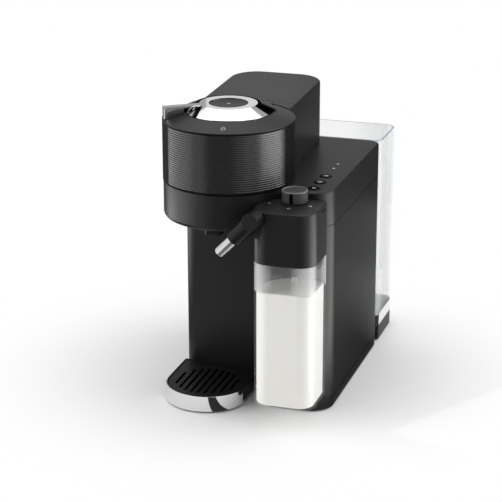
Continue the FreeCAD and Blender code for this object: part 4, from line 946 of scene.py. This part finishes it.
@dataclass
class MilkUnit(Assembly):
    """Carafe with its milk, lid, knob and spout."""

    wall: float = 2.2
    film: float = 0.15
    front_r: float = 18.0
    rear_r: float = 8.0
    drum_r: float = 39.0
    milk_edge: float = 0.8
    knob_stem_r: float = 3.95
    knob_gap: float = 0.5
    marker_w: float = 3.6
    mark: MarkSize = (2.1, 0.45)
    marks: tuple[tuple[Sign, float, float], ...] = (
        (Sign.SMALL_CUP, 35.4, -131.3), (Sign.CUP, 58.4, -143.1), (Sign.FOAM, 77.2, -130.3))
    skins = (("milk_carafe", Finish.CARAFE, 0.0, 30.0), ("carafe_lid", Finish.CHARCOAL, 0.0, 30.0),
             ("lid_seal", Finish.RUBBER), ("milk_pickup", Finish.TUBE), ("milk_spout", Finish.BLACK, 0.5),
             ("spout_tip", Finish.SATIN, 0.3))

    def add_pieces(self) -> None:
        """Adds milk, knob and marks."""
        self.milk()
        self.knob()
        self.lid_marks()

    def milk(self) -> None:
        """Milk that the carafe holds, a film away from its inner wall."""
        low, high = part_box("milk_carafe")
        inset = self.wall + self.film
        x0, x1 = low.x / MM + inset, high.x / MM - inset
        y0, y1 = low.y / MM + inset, high.y / MM - inset
        radii = [r - inset for r in (self.front_r, self.front_r, self.rear_r, self.drum_r)]
        plan = [(x0, y0), (x1, y0), (x1, y1), (x0, y1)]
        form = rounded_block(plan, radii, low.z / MM + inset, MILK_TOP)
        solid("milk_fill", form, Finish.MILK, "milk_carafe", self.milk_edge)

    def knob(self) -> None:
        """Grey knob with a rim ring in paler grey, a painted sheen, and a dark marker that faces the front."""
        axis, r, foot, top = round_of("froth_knob")
        lid_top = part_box("carafe_lid")[1].z / MM
        stem, skirt = self.knob_stem_r, lid_top + self.knob_gap
        body = [(0.0, foot), (stem, foot), (stem, skirt), (r - 1.0, skirt), (r - 0.9, lid_top + 1.2),
                (r - 0.05, lid_top + 1.4), (r, top - 1.6), (r - 0.3, top - 0.9), (r - 2.4, top - 0.9),
                (0.0, top - 0.9)]
        form = turned(body, axis, steps=FINE)
        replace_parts(solid("froth_knob_body", form, Finish.KNOB, "froth_knob", sharp=35.0), "froth_knob")
        # The rim ring is real; its paler grey is a painted sheen.
        rim = [(r - 2.0, top - 0.95), (r - 0.1, top - 1.2), (r - 0.15, top - 0.6), (r - 0.7, top - 0.05),
               (r - 1.4, top), (r - 1.9, top - 0.4)]
        solid("froth_knob_rim", turned(rim, axis, steps=FINE), Finish.KNOB_RIM, "froth_knob", sharp=70.0)
        half = math.degrees(self.marker_w / 2 / r)
        inner, outer, low_z, high_z = r - 0.6, r + 0.06, lid_top + 1.4, top - 1.0
        strip = [(inner, low_z), (outer, low_z), (outer, high_z), (inner, high_z)]
        solid("froth_knob_marker", turned(strip, axis, -half, 2 * half, 360), Finish.GLOSS, "froth_knob")

    def lid_marks(self) -> None:
        """Generic cup marks round the knob."""
        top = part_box("carafe_lid")[1].z
        for i, (sign, x, y) in enumerate(self.marks, start=1):
            place = facing(Vector((x * MM, y * MM, top)), UP, BACK)
            stroke_mark("lid_mark_%d" % i, sign, place, *self.mark, Finish.INK, "carafe_lid")


@dataclass
class WaterTank:
    """Clear tank on its bright skirt and dark dock."""

    rim_drop: float = 1.0
    rim_tilt: float = 0.5

    def build(self) -> None:
        """Dresses the tank."""
        shell = skin("tank_shell", Finish.TANK, 0.3, 40.0)
        shell.data.materials.append(Finish.TANK_EDGE.material())
        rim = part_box("tank_shell")[1].z - self.rim_drop * MM
        for face in shell.data.polygons:
            face.material_index = int(face.center.z > rim and face.normal.z > self.rim_tilt)
        skin("tank_band", Finish.CHROME, 0.25, 40.0)
        skin("tank_dock", Finish.BLACK, 0.4)
        skin("tank_valve", Finish.BLACK, 0.3)
        skin("valve_seat", Finish.BLACK, 0.2)


@dataclass
class Controls:
    """Recipe buttons and lights on the column's top."""

    signs: tuple[Sign, ...] = (Sign.SMALL_CUP, Sign.CUP, Sign.GLASS)
    rim: float = 0.5
    stem_r: float = 2.45
    lip_w: float = 1.2
    lip_t: float = 2.0
    cap_t: float = 3.7
    mark: MarkSize = (3.0, 0.8)
    mark_drop: float = 0.25

    def build(self) -> None:
        """Turns the buttons, lights their marks and dresses the lights."""
        for number, sign in enumerate(self.signs, start=1):
            self.button("recipe_button_%d" % number, sign)
        skin("indicator_lights", Finish.INK)

    def button(self, node: str, sign: Sign) -> None:
        """Gloss button with a soft rim and a lit mark.

        Args:
            node: CAD node of the button.
            sign: Its mark.
        """
        axis, lip, foot, top = round_of(node)
        r, seat, stem, rim = lip - self.lip_w, top - self.cap_t, self.stem_r, self.rim
        outline = [(0.0, foot), (stem, foot), (stem, seat - self.lip_t), (lip, seat - self.lip_t),
                   (lip, seat), (r, seat), (r, top - rim), (r - rim * 0.3, top - rim * 0.3), (r - rim, top),
                   (r - 1.6, top - 0.1), (0.0, top - 0.3)]
        form = turned(outline, axis, steps=72)
        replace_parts(solid(node + "_face", form, Finish.GLOSS, node, sharp=50.0), node)
        place = facing(Vector((axis.x, axis.y, (top - self.mark_drop) * MM)), UP, BACK)
        stroke_mark(node + "_mark", sign, place, *self.mark, Finish.LIT, node)


class Works(Assembly):
    """What the closed housing holds."""

    skins = (("chassis_deck", Finish.BLACK), ("control_board", Finish.BOARD), ("water_pump", Finish.ZINC),
             ("pump_cushion", Finish.RUBBER), ("thermoblock", Finish.ALLOY), ("flow_meter", Finish.BLACK),
             ("water_hose", Finish.RUBBER))


@dataclass(frozen=True)
class Card:
    """Dark or bright card that only shiny surfaces see: what the machine mirrors.

    Attributes:
        name: Name of the card.
        tone: Its brightness, 1 for white.
        corners: Its corners, in metres.
        behind_glass: Whether it is also seen through glass.
    """

    name: str
    tone: float
    corners: tuple[Place, ...]
    behind_glass: bool = False

    def build(self) -> None:
        """Hangs the card."""
        mesh = bpy.data.meshes.new(self.name)
        mesh.from_pydata(self.corners, [], [tuple(range(len(self.corners)))])
        mesh.materials.append(Shading(self.name + "_paper").done({
            "Base Color": srgb(BLACK), "Emission Color": srgb(WHITE), "Emission Strength": self.tone,
            "Specular IOR Level": 0.0}))
        card = link(self.name, mesh)
        card.visible_camera = card.visible_diffuse = card.visible_shadow = False
        card.visible_transmission = self.behind_glass


def lying(*plan: Point) -> tuple[Place, ...]:
    """Corners of a card that lies just above the floor, in metres."""
    return tuple((x, y, CARD_Z) for x, y in plan)


def standing(y: float, x0: float, x1: float, z0: float, z1: float) -> tuple[Place, ...]:
    """Corners of a card that stands across the set, in metres."""
    return ((x0, y, z0), (x1, y, z0), (x1, y, z1), (x0, y, z1))


@dataclass(frozen=True)
class Lamp:
    """Soft rectangular lamp.

    Attributes:
        name: Name of the lamp.
        place: Where it hangs, in metres.
        target: Where it points.
        size: Width and height, in metres.
        power: Power in watts.
        mirrored: Whether shiny surfaces show it.
    """

    name: str
    place: Place
    target: Place
    size: Point
    power: float
    mirrored: bool = True

    def build(self) -> None:
        """Hangs the lamp."""
        data = bpy.data.lights.new(self.name, "AREA")
        data.shape = "RECTANGLE"
        data.size, data.size_y = self.size
        data.energy = self.power
        lamp = link(self.name, data)
        lamp.location = self.place
        lamp.visible_camera = False
        lamp.visible_glossy = self.mirrored
        way = Vector(self.target) - Vector(self.place)
        lamp.rotation_euler = way.to_track_quat("-Z", "Y").to_euler()


@dataclass
class Studio:
    """Pale floor, soft light and the camera at the photo's angle."""

    aim: Place = (-4.63, -39.26, 143.25)
    azimuth: float = 17.44
    elevation: float = 18.98
    distance: float = 1914.1
    lens: float = 129.15
    sensor: float = 36.0
    shift: Point = (-0.0161, 0.0084)
    sight: float = 20.0
    floor_side: float = 8000.0
    shadow_r: Point = (0.12, 0.36)
    world_light: float = 0.4
    lamps: tuple[Lamp, ...] = (
        Lamp("top_softbox", (0.0, 0.3, 1.8), (0.0, 0.0, 0.15), (2.2, 2.2), 12.0),
        Lamp("left_softbox", (-1.41, -0.51, 0.75), (0.0, -0.05, 0.2), (1.8, 1.5), 20.0, False),
        Lamp("right_softbox", (1.46, 0.34, 0.75), (0.0, -0.05, 0.2), (1.8, 1.5), 20.0))
    cards: tuple[Card, ...] = (
        Card("tray_card", 0.03, lying((-0.03, -0.1), (-0.016, -0.1), (0.033, -0.25), (-0.002, -0.25))),
        Card("front_card", 0.2, lying((-0.1, -0.25), (0.22, -0.25), (1.3, -1.7), (-0.7, -1.7))),
        Card("camera_card", 0.03, standing(-2.5, -1.3, 1.3, 0.0, 2.2)),
        Card("near_left_card", 0.05, lying((-0.17, -0.28), (-0.17, 0.06), (-0.42, 0.12), (-0.42, -0.42))),
        Card("left_light", 3.8, lying((-0.43, 0.1), (-0.85, 0.22), (-0.85, -0.85), (-0.43, -0.45))),
        Card("left_card", 0.04, lying((-0.09, 0.0), (-1.27, 0.45), (-1.27, 1.2), (-0.3, 1.2))),
        Card("right_light", 5.2, lying((0.16, -0.13), (1.1, -0.4), (1.3, 0.2), (0.8, 0.55), (0.3, 0.1))),
        Card("side_card", 0.04, lying((0.092, -0.12), (0.16, 0.0), (0.42, 0.35), (0.17, 0.35), (0.092, 0.1))),
        Card("column_card", 0.04, standing(0.35, 0.141, 0.8, 0.001, 0.45)),
        Card("hump_card", 0.03, standing(0.35, 0.06, 0.141, 0.09, 0.45), True),
        Card("ring_card", 0.75, standing(0.27, -0.17, -0.03, 0.385, 0.455)),
        Card("rear_card", 0.4, standing(1.6, -1.8, 1.8, 0.0, 2.2)))

    def build(self) -> None:
        """Sets the floor, the light and the camera."""
        bpy.context.scene.view_settings.view_transform = "Standard"
        self.floor()
        self.world()
        for item in (*self.lamps, *self.cards):
            item.build()
        self.camera()

    def floor(self) -> None:
        """Plain white floor that keeps the machine's shadow."""
        form = bmesh.new()
        bmesh.ops.create_grid(form, x_segments=1, y_segments=1, size=self.floor_side * MM / 2)
        mesh = bpy.data.meshes.new("studio_floor")
        form.to_mesh(mesh)
        form.free()
        floor = link("studio_floor", mesh)
        look = Shading("studio_paper")
        mesh.materials.append(look.done({
            "Base Color": srgb("#f7f7f7"), "Roughness": 0.9, "Specular IOR Level": 0.1}))
        away = look.add("ShaderNodeVectorMath", "Value", {0: look.place}, operation="LENGTH")
        far = look.span(away, 0.0, 1.0, *self.shadow_r, interpolation_type="SMOOTHSTEP")
        seen = look.sum("MULTIPLY", far, self.seen(look.tree))
        white = look.add("ShaderNodeEmission", "Emission", {"Color": srgb(WHITE), "Strength": 1.0})
        mix = look.add("ShaderNodeMixShader", "Shader", {0: seen, 1: look.shader.outputs["BSDF"], 2: white})
        feed(look.tree, look.tree.nodes["Material Output"], {"Surface": mix})

    @staticmethod
    def seen(tree: NodeTree) -> NodeSocket:
        """Tells the rays that show a background from those that light the machine.

        Args:
            tree: The tree that takes the nodes.

        Returns:
            Socket with 1 for what the camera, mirrors and glass see.
        """
        path = add_node(tree, "ShaderNodeLightPath").outputs
        share = path["Is Camera Ray"]
        for kind in ("Is Transmission Ray", "Is Glossy Ray"):
            share = add_node(tree, "ShaderNodeMath", {0: share, 1: path[kind]},
                             operation="MAXIMUM").outputs["Value"]
        return share

    def world(self) -> None:
        """Even white surroundings, white to the camera, mirrors and glass."""
        world = bpy.data.worlds.new("studio_world")
        bpy.context.scene.world = world
        world.use_nodes = True
        tree = world.node_tree
        tree.nodes.clear()
        dim, white = (add_node(tree, "ShaderNodeBackground", {"Color": srgb(WHITE), "Strength": strength})
                      .outputs["Background"] for strength in (self.world_light, 1.0))
        mix = add_node(tree, "ShaderNodeMixShader", {0: self.seen(tree), 1: dim, 2: white})
        add_node(tree, "ShaderNodeOutputWorld", {"Surface": mix.outputs["Shader"]})

    def camera(self) -> None:
        """Camera at the photo's viewing angle."""
        data = bpy.data.cameras.new("photo_camera")
        data.lens = self.lens
        data.sensor_width = self.sensor
        data.sensor_fit = "HORIZONTAL"
        data.shift_x, data.shift_y = self.shift
        data.clip_end = self.sight
        camera = link("photo_camera", data)
        rise = math.radians(self.elevation)
        way = plan_way(self.azimuth) * math.cos(rise) + UP * math.sin(rise)
        camera.location = Vector(self.aim) * MM + way * (self.distance * MM)
        camera.rotation_euler = (-way).to_track_quat("-Z", "Y").to_euler()
        bpy.context.scene.camera = camera


def main() -> None:
    """Builds the sub-assemblies in order."""
    logging.basicConfig(level=logging.INFO, format="%(name)s: %(message)s")
    for assembly in (Housing(), BrewHead(), LeverRing(), BrewUnit(), CapsuleBin(), DripStation(), MilkUnit(),
                     WaterTank(), Controls(), Works(), Studio()):
        assembly.build()
        LOG.info("built %s", type(assembly).__name__)


if __name__ == "__main__":
    main()
